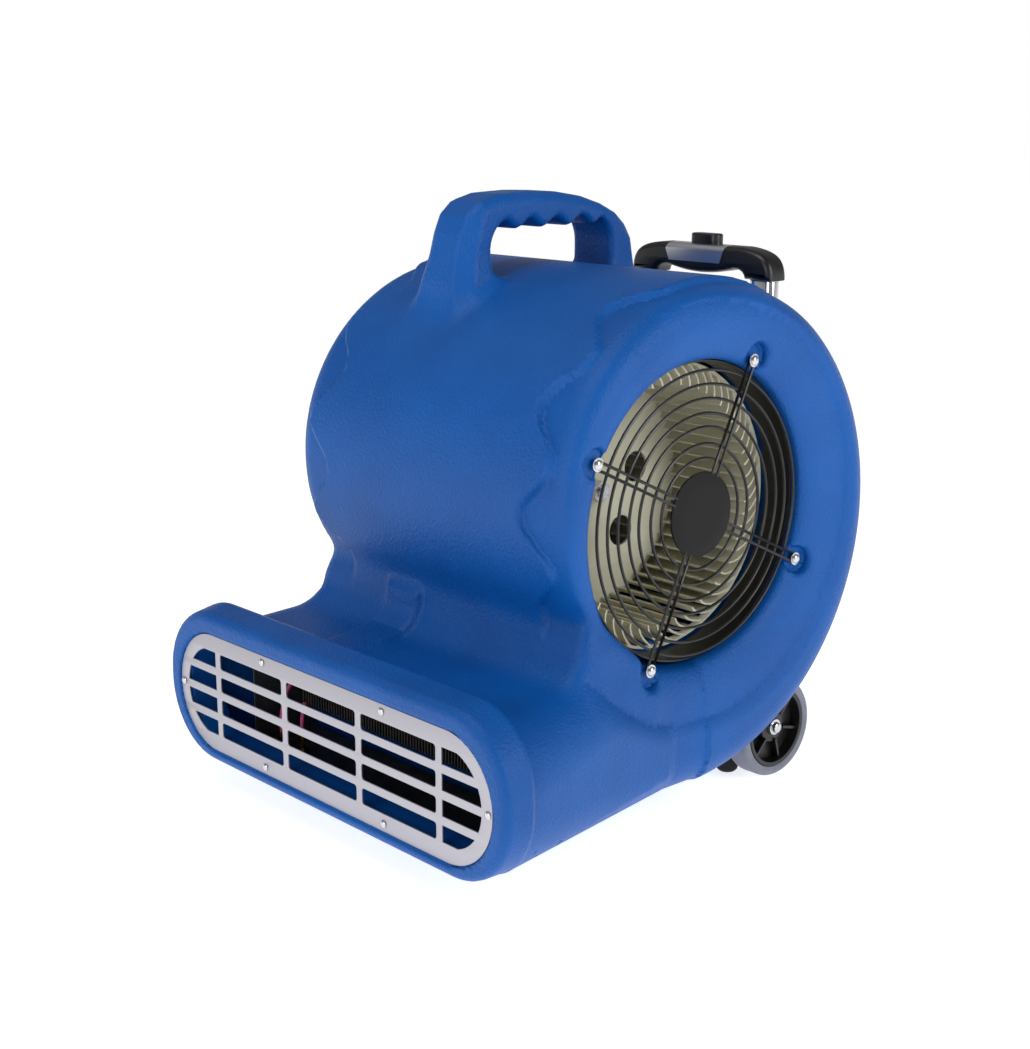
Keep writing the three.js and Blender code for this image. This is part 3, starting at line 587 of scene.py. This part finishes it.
def housingDistance(x, y, z):
    drum, duct, legs, seats = housing["drum"], housing["duct"], housing["legs"], housing["seat"]
    body = drumDistance(x, y, z)
    tube = smoothMax(ductSection(x, y, z, 0), y - 314, 6)
    # the duct meets the drum in a soft valley in front and flush behind
    softness = 1 + 15 * np.clip((270 - y) / 50, 0, 1)
    body = smoothMin(body, smoothMax(tube, duct["front"] - y, 2), softness)
    body = smoothMin(body, throatDistance(x, y, z), housing["throat"]["blend"])
    body = addLocal(body, x, y, z, (-115, 30, 140), (0, 200, 225), ribDistance, 7)
    body = addLocal(body, x, y, z, (-125, 160, 440), (10, 470, 600), handleDistance, 16)
    body = smoothMin(body, noseDistance(x, y, z), 4)
    across = np.abs(np.abs(x) - legs["x"]) - legs["halfX"]
    leg = cornered(across, np.abs(y - legs["y"]) - legs["halfY"], 8)
    body = smoothMin(body, cornered(leg, np.abs(z - legs["z"]) - legs["halfZ"], 5), 8)
    mouth = mouthDistance(x, y, z)
    body = smoothMax(body, mouth, 24)
    for i in range(4):
        angle = radians(seats["first"] + 90 * i)
        seatY = drum["y"] + seats["circle"] * cos(angle)
        seatZ = drum["z"] + seats["circle"] * sin(angle)
        seat = np.maximum(np.hypot(y - seatY, z - seatZ) - seats["radius"], seats["floor"] - np.abs(x))
        body = smoothMax(body, -seat, 6)
    body = np.maximum(body, -cavityDistance(x, y, z, mouth))
    return cutBack(cutOutlet(body, x, y, z), x, y, z)


def skinFromDistance(distance, low, high, cell):
    # one vertex in each cell that the skin passes through, then drawn onto the skin itself
    axes = [np.arange(a, b + cell, cell) for a, b in zip(low, high)]
    values = distance(*np.meshgrid(*axes, indexing="ij"))
    inside = values < 0
    corners = [(i, j, k) for i in (0, 1) for j in (0, 1) for k in (0, 1)]
    nx, ny, nz = [n - 1 for n in inside.shape]
    count = sum(inside[i:i + nx, j:j + ny, k:k + nz].astype(np.uint8) for i, j, k in corners)
    mixed = (count > 0) & (count < 8)
    number = np.full(mixed.shape, -1, np.int32)
    number[mixed] = np.arange(mixed.sum())
    cells = np.stack(np.nonzero(mixed), 1)
    total, crossings = np.zeros(cells.shape), np.zeros(len(cells))
    for first in corners:
        for axis in range(3):
            if first[axis]:
                continue
            start, end = np.array(first), np.array(first)
            end[axis] = 1
            a = values[tuple((cells + start).T)]
            b = values[tuple((cells + end).T)]
            crosses = (a < 0) != (b < 0)
            share = np.where(crosses, a / np.where(crosses, a - b, 1), 0)
            total += crosses[:, None] * (start + share[:, None] * (end - start))
            crossings += crosses
    points = (cells + total / crossings[:, None]) * cell + np.array([a[0] for a in axes])
    faces = []
    for axis in range(3):
        second, third = (axis + 1) % 3, (axis + 2) % 3
        start = [slice(1, -1)] * 3
        start[axis] = slice(0, -1)
        end = list(start)
        end[axis] = slice(1, None)
        a, b = inside[tuple(start)], inside[tuple(end)]
        where = np.stack(np.nonzero(a != b), 1)
        outward = a[tuple(where.T)]
        where[:, [second, third]] += 1
        ring = []
        for p, q in ((1, 1), (0, 1), (0, 0), (1, 0)):
            at = where.copy()
            at[:, second] -= p
            at[:, third] -= q
            ring.append(number[tuple(at.T)])
        ring = np.stack(ring, 1)
        faces.append(np.where(outward[:, None], ring, ring[:, ::-1]))
    points, normals = settleOnSkin(distance, points, cell)
    return points, np.concatenate(faces), normals


def settleOnSkin(distance, points, cell):
    reach = 0.4
    for step in range(4):
        here = distance(*points.T)
        slopes = []
        for axis in range(3):
            offset = np.zeros(3)
            offset[axis] = reach
            slopes.append((distance(*(points + offset).T) - distance(*(points - offset).T)) / (2 * reach))
        slope = np.stack(slopes, 1)
        length = np.maximum(np.linalg.norm(slope, axis=1), 0.2)
        if step < 3:
            move = np.clip(here / length, -cell / 2, cell / 2)
            points = points - (move / length)[:, None] * slope
    return points, slope / length[:, None]


def buildHousing():
    low, high = (-266, -10, 10), (266, 545, 592)
    points, faces, normals = skinFromDistance(housingDistance, low, high, housing["cell"])
    # held inside the machine's own box
    points[:, 2] = np.clip(points[:, 2], None, 582.4)
    points[:, 1] = np.clip(points[:, 1], -1.9, 536.0)
    points = points * mm + np.array([0, plateFace, 0])
    mesh = bpy.data.meshes.new("housingSkin")
    mesh.from_pydata(points.tolist(), [], faces.tolist())
    mesh.update()
    addPiece("housingSkin", mesh, finishes["housing_plastic"], "frame", ["housing"],
             80)
    mesh.normals_split_custom_set_from_vertices(normals.tolist())
    print("housing", len(faces) * 2, "triangles")


buildHousing()

plate = {"z": 101.0, "half": 237.5, "radius": 59.5, "thick": 1.6, "pitch": 23.4, "bar": 8.0, "corner": 3.0,
         "columns": (-169.0, -57.0, 57.0, 169.0), "endCentre": 179.0, "endRadius": 45.0}


def endSlot(sign, low, high):
    steps = 10
    inner = plate["columns"][3] + plate["bar"] / 2
    heights = [low + (high - low) * i / steps for i in range(steps + 1)]
    reach = [(plate["endCentre"] + sqrt(plate["endRadius"] ** 2 - (z - plate["z"]) ** 2), z) for z in heights]
    return [(sign * x, z) for x, z in [(inner, low), *reach, (inner, high)]]


def buildOutletPlate():
    half, radius, z = plate["half"], plate["radius"], plate["z"]
    outlines = [roundedOutline(-half, half, z - radius, z + radius, radius - 0.01, 24)]
    slotHalf = (plate["pitch"] - plate["bar"]) / 2
    for row in (-1.5, -0.5, 0.5, 1.5):
        low = z + row * plate["pitch"] - slotHalf
        high = low + 2 * slotHalf
        for left, right in zip(plate["columns"], plate["columns"][1:]):
            outlines.append(roundedOutline(left + plate["bar"] / 2, right - plate["bar"] / 2, low, high,
                                           plate["corner"], 4))
        outlines += [endSlot(sign, low, high) for sign in (1, -1)]
    middle = plateFace + plate["thick"] / 2 * mm
    mesh = sheetFromOutlines("outletPlate", outlines, plate["thick"] / 2, 0.3, standing(middle), 1)
    addPiece("outletPlate", mesh, finishes["steel_plate"], "frame", ["outlet_grille"])
    screws = [nodes[f"outlet_screw_{i}"].name for i in range(1, 7)]
    for i, node in enumerate(screws):
        low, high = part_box(node)
        bm = bmesh.new()
        head = [(0, 0.3), (3.7, 0.3), (3.7, 0.8), (3.1, 1.5), (1.7, 1.9), (0, 2.0)]
        turnProfile(bm, head, ((low.x + high.x) / 2, plateFace, (low.z + high.z) / 2), 24, (0, -1, 0))
        addPiece(f"outletScrew_{i + 1}", finishBmesh(bm, node + "_head"), finishes["zinc"], "frame",
                 [node])


buildOutletPlate()

guard = {"x": 191.0, "rings": (52.0, 65.4, 80.7, 93.4, 107.0, 120.0, 133.0), "wire": 1.45, "pair": 3.6,
         "hub": 40.0, "screw": 150.6, "tilt": -25.8, "collarIn": 138.7, "collarOut": 141.6}


def buildGuard(side, sign):
    centre = Vector((sign * guard["x"] * mm, fanY, fanZ))
    wire = guard["wire"]
    bm = bmesh.new()
    for ring in guard["rings"]:
        turns = [2 * pi * i / 8 for i in range(8)]
        section = [(ring + wire * cos(turn), wire * sin(turn) - 0.5 * sign) for turn in turns]
        turnProfile(bm, section, centre, 96)
    for i in range(4):
        turn = radians(guard["tilt"] + 90 * i)
        out, across = Vector((0, cos(turn), sin(turn))), Vector((0, -sin(turn), cos(turn)))
        front = Vector((sign * 0.9 * mm, 0, 0))
        seat = centre + front + out * guard["screw"] * mm
        for offset in (-guard["pair"], guard["pair"]):
            shift = across * offset * mm
            addRod(bm, centre + front + out * 38 * mm + shift, seat + shift, wire * mm, 8)
        start = bmesh.ops.create_circle(bm, segments=8, radius=wire * mm, cap_ends=False)["verts"]
        face = Matrix((across, (1, 0, 0), out)).transposed().to_4x4()
        stand = Matrix.Translation(seat + across * guard["pair"] * mm) @ face
        bmesh.ops.transform(bm, matrix=stand, verts=start)
        ring = start + list({e for v in start for e in v.link_edges})
        bmesh.ops.spin(bm, geom=ring, cent=seat, axis=(1, 0, 0), dvec=(0, 0, 0), angle=pi, steps=10,
                       use_merge=False, use_duplicate=False)
    addPiece(f"guardWires_{side}", finishBmesh(bm, f"guardWires_{side}"), finishes["coated_wire"], "frame",
             [f"inlet_guard_{side}"])
    bm = bmesh.new()
    hub = guard["hub"]
    dome = [(0, -1.0), (hub - 1, -1.0), (hub, -0.4), (hub, 1.2), (hub - 2, 2.2), (hub * 0.6, 2.5), (0, 2.6)]
    turnProfile(bm, dome, centre, 64, (sign, 0, 0))
    addPiece(f"guardDisc_{side}", finishBmesh(bm, f"guardDisc_{side}"), charcoal, "frame", ())
    for i in range(1, 5):
        node = f"guard_screw_{side}_{i}"
        low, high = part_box(node)
        seat = (sign * (guard["x"] + 2.0) * mm, (low.y + high.y) / 2, (low.z + high.z) / 2)
        bm = bmesh.new()
        head = [(0, -14), (2, -14), (2, 0.3), (6.2, 0.3), (6.2, 1.2), (4.6, 1.3), (4.6, 2.6), (3.8, 3.7),
                (2.2, 4.3), (0, 4.5)]
        turnProfile(bm, head, seat, 24, (sign, 0, 0))
        addPiece(f"guardScrew_{side}_{i}", finishBmesh(bm, node + "_head"), finishes["zinc"], "frame",
                 [node])
    bm = bmesh.new()
    inner, outer = guard["collarIn"], guard["collarOut"]
    lining = [(inner, 150), (outer, 150), (outer, 180), (outer - 0.8, 181.4), (inner + 0.8, 181.4),
              (inner, 180)]
    turnProfile(bm, lining, (0, fanY, fanZ), 112, (sign, 0, 0))
    addPiece(f"collar_{side}", finishBmesh(bm, f"collar_{side}"), finishes["black_plastic"], "frame",
             [f"inlet_collar_{side}"])


for sideName, sideSign in sides.items():
    buildGuard(sideName, sideSign)
print("outlet plate and guards done")

fan = {"blades": 58, "inner": 114.0, "outer": 135.6, "half": 146.0, "thick": 1.9, "lean": 11.0, "hubX": 44.0,
       "holes": 6, "holeRadius": 15.5, "holeCircle": 65.5, "holeTurn": 12.0, "discRadius": 121.0}


def buildFanWheel():
    centre = (0, fanY, fanZ)
    half = fan["half"] * mm
    bm = bmesh.new()
    chain = []
    for step in range(6):
        share = step / 5
        r = (fan["inner"] + (fan["outer"] - fan["inner"]) * share) * mm
        turn = radians(fan["lean"] * share ** 1.8)
        chain.append(bm.verts.new((-half, fanY + r * cos(turn), fanZ + r * sin(turn))))
    edges = [bm.edges.new(pair) for pair in zip(chain, chain[1:])]
    made = bmesh.ops.extrude_edge_only(bm, edges=edges)["geom"]
    moved = [v for v in made if isinstance(v, bmesh.types.BMVert)]
    bmesh.ops.translate(bm, vec=(2 * half, 0, 0), verts=moved)
    bmesh.ops.solidify(bm, geom=bm.faces[:], thickness=fan["thick"] * mm)
    bmesh.ops.recalc_face_normals(bm, faces=bm.faces)
    step = 2 * pi / fan["blades"]
    blade = bm.verts[:] + bm.edges[:] + bm.faces[:]
    bmesh.ops.spin(bm, geom=blade, cent=centre, axis=(1, 0, 0), dvec=(0, 0, 0), angle=2 * pi - step,
                   steps=fan["blades"] - 1, use_merge=False, use_duplicate=True)
    for sign in (1, -1):
        ring = [(134.2, 139), (136.8, 139), (137, 145.6), (136.4, 147), (134.8, 147), (134.2, 146)]
        turnProfile(bm, ring, centre, 116, (sign, 0, 0))
    hub = [(7, 26), (20, 26), (24, 30), (24, 42), (30, 42.4), (30, 45.6), (24, 46), (23, 53), (7, 53)]
    turnProfile(bm, hub, centre, 48)
    mesh = finishBmesh(bm, "fanCage")
    circle = arc(fanY / mm, fanZ / mm, fan["discRadius"], 0, 357.5, 143)
    holes = [arc(fanY / mm, fanZ / mm, 22, 0, 350, 35)]
    for i in range(fan["holes"]):
        turn = radians(60 * i + fan["holeTurn"])
        y, z = fanY / mm + fan["holeCircle"] * cos(turn), fanZ / mm + fan["holeCircle"] * sin(turn)
        holes.append(arc(y, z, fan["holeRadius"], 0, 345, 23))
    disc = sheetFromOutlines("fanDisc", [circle, *holes], 1.6, 0.4, facingRight(fan["hubX"] * mm), 1)
    joined = bmesh.new()
    joined.from_mesh(mesh)
    joined.from_mesh(disc)
    bpy.data.meshes.remove(disc)
    addPiece("fanWheel", finishBmesh(joined, "fanWheel", False), finishes["fan_plastic"], "fan", ["impeller"])


buildFanWheel()

heater = {"left": -118.0, "right": 188.0, "front": 64.0, "back": 104.0, "low": 92.0, "high": 147.5,
          "pitch": 4.2, "fin": 1.5}


def buildHeater():
    bm = bmesh.new()
    y0, y1 = plateFace + heater["front"] * mm, plateFace + heater["back"] * mm
    x = heater["left"]
    while x < heater["right"] - heater["fin"]:
        addBlock(bm, (x * mm, y0, heater["low"] * mm), ((x + heater["fin"]) * mm, y1, heater["high"] * mm))
        x += heater["pitch"]
    for z in (104, 118, 133):
        for back in (0.3, 0.7):
            y = y0 + (y1 - y0) * back
            addRod(bm, (heater["left"] * mm, y, z * mm), (heater["right"] * mm, y, z * mm), 4 * mm, 16)
    addBlock(bm, (heater["left"] * mm, y0 + 1 * mm, (heater["high"] - 6) * mm),
             (heater["right"] * mm, y1, heater["high"] * mm))
    addPiece("heaterFins", finishBmesh(bm, "heaterFins", False), finishes["heater_fins"], "frame",
             ["heater_core"])


buildHeater()
print("fan and heater done")

wheel = {"radius": 50.8, "tread": 41.0, "in": 144.5, "out": 172.5, "round": 6.0, "ribs": 6}


def buildWheel(side, sign):
    centre = (0, wheelY, wheelZ)
    axis = (sign, 0, 0)
    r, inner, outer, corner = wheel["radius"], wheel["in"], wheel["out"], wheel["round"]
    bm = bmesh.new()
    shoulders = (arc(inner + corner, r - corner, corner, 180, 90, 6)
                 + arc(outer - corner, r - corner, corner, 90, 0, 6))
    section = [(wheel["tread"], inner + 1.5), *[(y, x) for x, y in shoulders], (wheel["tread"], outer - 1.5)]
    turnProfile(bm, section, centre, 96, axis)
    addPiece(f"tyreTread_{side}", finishBmesh(bm, f"tyreTread_{side}"), finishes["tyre_rubber"],
             f"wheel_{side}", [f"tyre_{side}"], 50)
    bm = bmesh.new()
    disc = [(8.4, 145), (16, 145), (16.5, 152), (33.5, 153), (35, 146), (40.3, 145.6), (40.3, 171.4),
            (39, 171.6), (36.4, 171), (34.8, 160), (18, 159.5), (16, 165), (14.5, 165.4), (8.4, 165.4)]
    turnProfile(bm, disc, centre, 72, axis)
    for i in range(wheel["ribs"]):
        turn = 2 * pi * (i + 0.25) / wheel["ribs"]
        verts = addBlock(bm, (158 * mm, -1.3 * mm, 15 * mm), (167.5 * mm, 1.3 * mm, 35.6 * mm))
        if sign < 0:
            bmesh.ops.scale(bm, vec=(-1, 1, 1), verts=verts)
        bmesh.ops.rotate(bm, cent=(0, 0, 0), matrix=Matrix.Rotation(turn, 3, "X"), verts=verts)
        bmesh.ops.translate(bm, vec=centre, verts=verts)
    addPiece(f"wheelDisc_{side}", finishBmesh(bm, f"wheelDisc_{side}"), finishes["black_plastic"],
             f"wheel_{side}", [f"wheel_rim_{side}"])
    bm = bmesh.new()
    bolt = [(0, 167.9), (8, 167.9), (8, 169.2), (5.6, 169.5), (5.2, 172.8), (4, 173.8), (0, 174.2)]
    turnProfile(bm, bolt, centre, 32, axis)
    addPiece(f"hubBolt_{side}", finishBmesh(bm, f"hubBolt_{side}"), finishes["zinc"], "frame",
             [f"hub_bolt_{side}"])


for sideName, sideSign in sides.items():
    buildWheel(sideName, sideSign)
print("wheels done")

# each tube's section is its width, its depth and its wall
trolley = {"sleeve": (31.0, 17.0, 1.5), "tube": (27.4, 13.4, 1.5), "ferrule": (32.4, 18.4, 2.5),
           "oval": 0.42, "pinDrop": 17.0, "pinOff": 4.0}
gripShape = {"half": 97.0, "legInside": 61.0, "bottom": 490.0, "top": 522.0, "deep": 14.0, "edge": 6.4}


def ovalOutlines(x, size, wall):
    y = trolleyY / mm
    made = []
    for inset in (0, wall):
        w, d = size[0] / 2 - inset, size[1] / 2 - inset
        made.append(roundedOutline(x - w, x + w, y - d, y + d, d * 2 * trolley["oval"], 8))
    return made


def buildTubes(side, sign):
    for node, name, key, body in ((f"trolley_sleeve_{side}", "sleeve", "sleeve", "frame"),
                                  (f"trolley_tube_{side}", "innerTube", "tube", "trolley")):
        low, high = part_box(node)
        x = (low.x + high.x) / 2 / mm
        place = Matrix.Translation((0, 0, (low.z + high.z) / 2))
        size = trolley[key]
        half = (high.z - low.z) / 2 / mm
        mesh = sheetFromOutlines(name, ovalOutlines(x, size, size[2]), half, 0.3, place, 1)
        addPiece(f"{name}_{side}", mesh, finishes["chrome_tube"], body, [node])
    low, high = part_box(f"trolley_sleeve_{side}")
    x = (low.x + high.x) / 2 / mm
    place = Matrix.Translation((0, 0, high.z + 1.0 * mm))
    ring = sheetFromOutlines("ferrule", ovalOutlines(x, trolley["ferrule"], 2.3), 0.8, 0.3, place, 1)
    addPiece(f"ferrule_{side}", ring, satin, "trolley", ())
    # a thin black disc over the lock pin hole: painted shade standing in for the hole's dark inside
    bm = bmesh.new()
    hole = (x * mm - trolley["pinOff"] * mm, low.y, high.z - trolley["pinDrop"] * mm)
    turnProfile(bm, [(0, -0.6), (3.4, -0.6), (3.4, 0.15), (0, 0.15)], hole, 24, (0, -1, 0))
    addPiece(f"lockHole_{side}", finishBmesh(bm, f"lockHole_{side}"), finishes["foot_rubber"], "frame", ())


def curveBetween(points, steps=10):
    # a quadratic or cubic curve through its first and last points
    made = []
    for i in range(steps + 1):
        t = i / steps
        level = [Vector(p) for p in points]
        while len(level) > 1:
            level = [a.lerp(b, t) for a, b in zip(level, level[1:])]
        made.append(tuple(level[0]))
    return made


def buildGrip():
    half, inside, low, top = gripShape["half"], gripShape["legInside"], gripShape["bottom"], gripShape["top"]
    outline = curveBetween([(-half, low), (-half, low + 24), (-84, top - 3), (-56, top)], 16)
    outline += curveBetween([(56, top), (84, top - 3), (half, low + 24), (half, low)], 16)
    outline += curveBetween([(inside, low), (inside - 2, low + 9.5), (47, low + 9)], 8)
    outline += curveBetween([(46, low + 9), (0, low - 3), (-46, low + 9)], 16)
    outline += curveBetween([(-47, low + 9), (2 - inside, low + 9.5), (-inside, low)], 8)
    mesh = sheetFromOutlines("gripBar", [outline], gripShape["deep"], gripShape["edge"],
                             standing(trolleyY), 5)
    addPiece("gripBar", mesh, finishes["black_plastic"], "trolley", ["trolley_grip"], 60)


def buildTrim():
    # a bent plate over the front top edge of the grip, rounded at one end and slanted at the other
    bm = bmesh.new()
    front, edge, top = -gripShape["deep"], gripShape["edge"], gripShape["top"]
    bend = arc(front + edge, top - edge, edge + 0.35, 180, 90, 10)
    section = [(front - 0.35, top - 18), *bend, (front + edge + 8, top + 0.35)]
    chain = [bm.verts.new((-46 * mm, trolleyY + y * mm, z * mm)) for y, z in section]
    edges = [bm.edges.new(pair) for pair in zip(chain, chain[1:])]
    for _ in range(12):
        made = bmesh.ops.extrude_edge_only(bm, edges=edges)["geom"]
        edges = [e for e in made if isinstance(e, bmesh.types.BMEdge)]
        moved = [v for v in made if isinstance(v, bmesh.types.BMVert)]
        bmesh.ops.translate(bm, vec=(82 / 12 * mm, 0, 0), verts=moved)
    for v in bm.verts:
        down = (gripShape["top"] * mm - v.co.z) / mm
        if v.co.x > 30 * mm:
            v.co.x -= down * 0.35 * mm
        if v.co.x < -40 * mm:
            v.co.x += 0.05 * (down - 8) ** 2 * mm
    bmesh.ops.recalc_face_normals(bm, faces=bm.faces)
    bmesh.ops.solidify(bm, geom=bm.faces[:], thickness=0.6 * mm)
    addPiece("gripTrim", finishBmesh(bm, "gripTrim"), satin, "trolley", ["grip_trim"], 50)


def buildButton():
    low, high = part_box("release_button")
    x, y = (low.x + high.x) / 2 / mm, (low.y + high.y) / 2 / mm
    outline = roundedOutline(low.x / mm, high.x / mm, low.y / mm, high.y / mm, 7.6, 8)
    place = Matrix.Translation((0, 0, (low.z + high.z) / 2))
    mesh = sheetFromOutlines("button", [outline], (high.z - low.z) / 2 / mm, 2.2, place, 4)
    addPiece("buttonCap", mesh, finishes["black_plastic"], "button", ["release_button"], 60)


for sideName, sideSign in sides.items():
    buildTubes(sideName, sideSign)
buildGrip()
buildTrim()
buildButton()
print("trolley handle done")

easedEdges = {"motor_body": 2.0, "motor_end_cover": 1.5, "motor_bracket": 0.5, "motor_capacitor": 1.0,
              "heater_rail": 0.8, "heater_tray": 0.4, "trolley_clamp_lower": 1.5, "trolley_clamp_upper": 1.5,
              "control_panel": 0.6, "speed_knob": 0.7, "heater_rocker": 0.5, "cable_gland": 0.6,
              "rear_foot_right": 0.8, "rear_foot_left": 0.8, "front_foot_right": 0.8, "front_foot_left": 0.8}


def easeNode(node, width):
    bm = bmesh.new()
    bm.from_mesh(nodes[node].data)
    bmesh.ops.remove_doubles(bm, verts=bm.verts, dist=0.01 * mm)
    bmesh.ops.dissolve_limit(bm, angle_limit=radians(1), verts=bm.verts, edges=bm.edges)
    mesh = bpy.data.meshes.new(node + "_eased")
    bm.to_mesh(mesh)
    bm.free()
    slotName = next(s["material_slot"] for s in frame["record"]["subparts"] if s["node"] == node)
    finish = galvanised if node == "heater_tray" else finishes[slotName]
    body = nodes[node]["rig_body"]
    piece = addPiece(node + "_eased", mesh, finish, body, [node])
    bevel = piece.modifiers.new("bevel", "BEVEL")
    bevel.width = width * mm
    bevel.segments = 2
    bevel.limit_method = "ANGLE"
    bevel.angle_limit = radians(40)
    bevel.harden_normals = True


for nodeName, edgeWidth in easedEdges.items():
    easeNode(nodeName, edgeWidth)
print("eased pieces done")


camera = {"place": (1.23535, plateFace - 0.87165, 0.66802), "tilt": 76.35, "turn": 48.04, "roll": -0.14,
          "lens": 59.96}


def buildStudio():
    lens = bpy.data.cameras.new("camera")
    lens.sensor_width = 36
    lens.lens = camera["lens"]
    lens.clip_end = 50
    eye = bpy.data.objects.new("camera", lens)
    eye.location = camera["place"]
    eye.rotation_euler = (radians(camera["tilt"]), 0, radians(camera["turn"]))
    eye.rotation_euler.rotate_axis("Z", radians(camera["roll"]))
    bpy.context.scene.collection.objects.link(eye)
    bpy.context.scene.camera = eye

    bm = bmesh.new()
    bmesh.ops.create_grid(bm, x_segments=1, y_segments=1, size=30)
    mesh = bpy.data.meshes.new("floor")
    bm.to_mesh(mesh)
    bm.free()
    floor = bpy.data.objects.new("floor", mesh)
    paper, _, _, _ = newMaterial("whitePaper", {
        "Base Color": (0.82, 0.82, 0.82, 1), "Roughness": 1.0, "Specular IOR Level": 0.0,
        "Emission Color": (1, 1, 1, 1), "Emission Strength": 0.78})
    mesh.materials.append(paper)
    bpy.context.scene.collection.objects.link(floor)

    world = bpy.data.worlds.new("studioWorld")
    bpy.context.scene.world = world
    world.use_nodes = True
    # a white wall all round under a darker ceiling
    tree = world.node_tree
    direction = addNode(tree, "ShaderNodeTexCoord", {}).outputs["Generated"]
    height = addNode(tree, "ShaderNodeSeparateXYZ", {}, {"Vector": direction}).outputs["Z"]
    fall = addNode(tree, "ShaderNodeMapRange",
                   {"From Min": 0.07, "From Max": 0.2, "To Min": 1.0, "To Max": 0.26}, {"Value": height})
    tree.links.new(fall.outputs["Result"], tree.nodes["Background"].inputs["Strength"])
    tree.nodes["Background"].inputs["Color"].default_value = (1, 1, 1, 1)
    bpy.context.scene.view_settings.view_transform = "Standard"

    lights = [
        ("topSoftbox", (-0.3, -0.9, 2.3), (0, 0, 0.2), (1.2, 1.0), 14),
        ("rightSoftbox", (2.3, 0.5, 1.3), (0.2, 0, 0.25), (0.9, 1.4), 28),
        ("frontSoftbox", (0.3, -2.7, 0.9), (0, 0, 0.2), (1.4, 1.0), 18),
    ]
    for name, place, target, size, power in lights:
        lamp = bpy.data.lights.new(name, "AREA")
        lamp.shape = "RECTANGLE"
        lamp.size, lamp.size_y = size
        lamp.energy = power
        holder = bpy.data.objects.new(name, lamp)
        holder.location = place
        holder.rotation_euler = (Vector(place) - Vector(target)).to_track_quat("Z", "Y").to_euler()
        bpy.context.scene.collection.objects.link(holder)


buildStudio()
print("studio done")
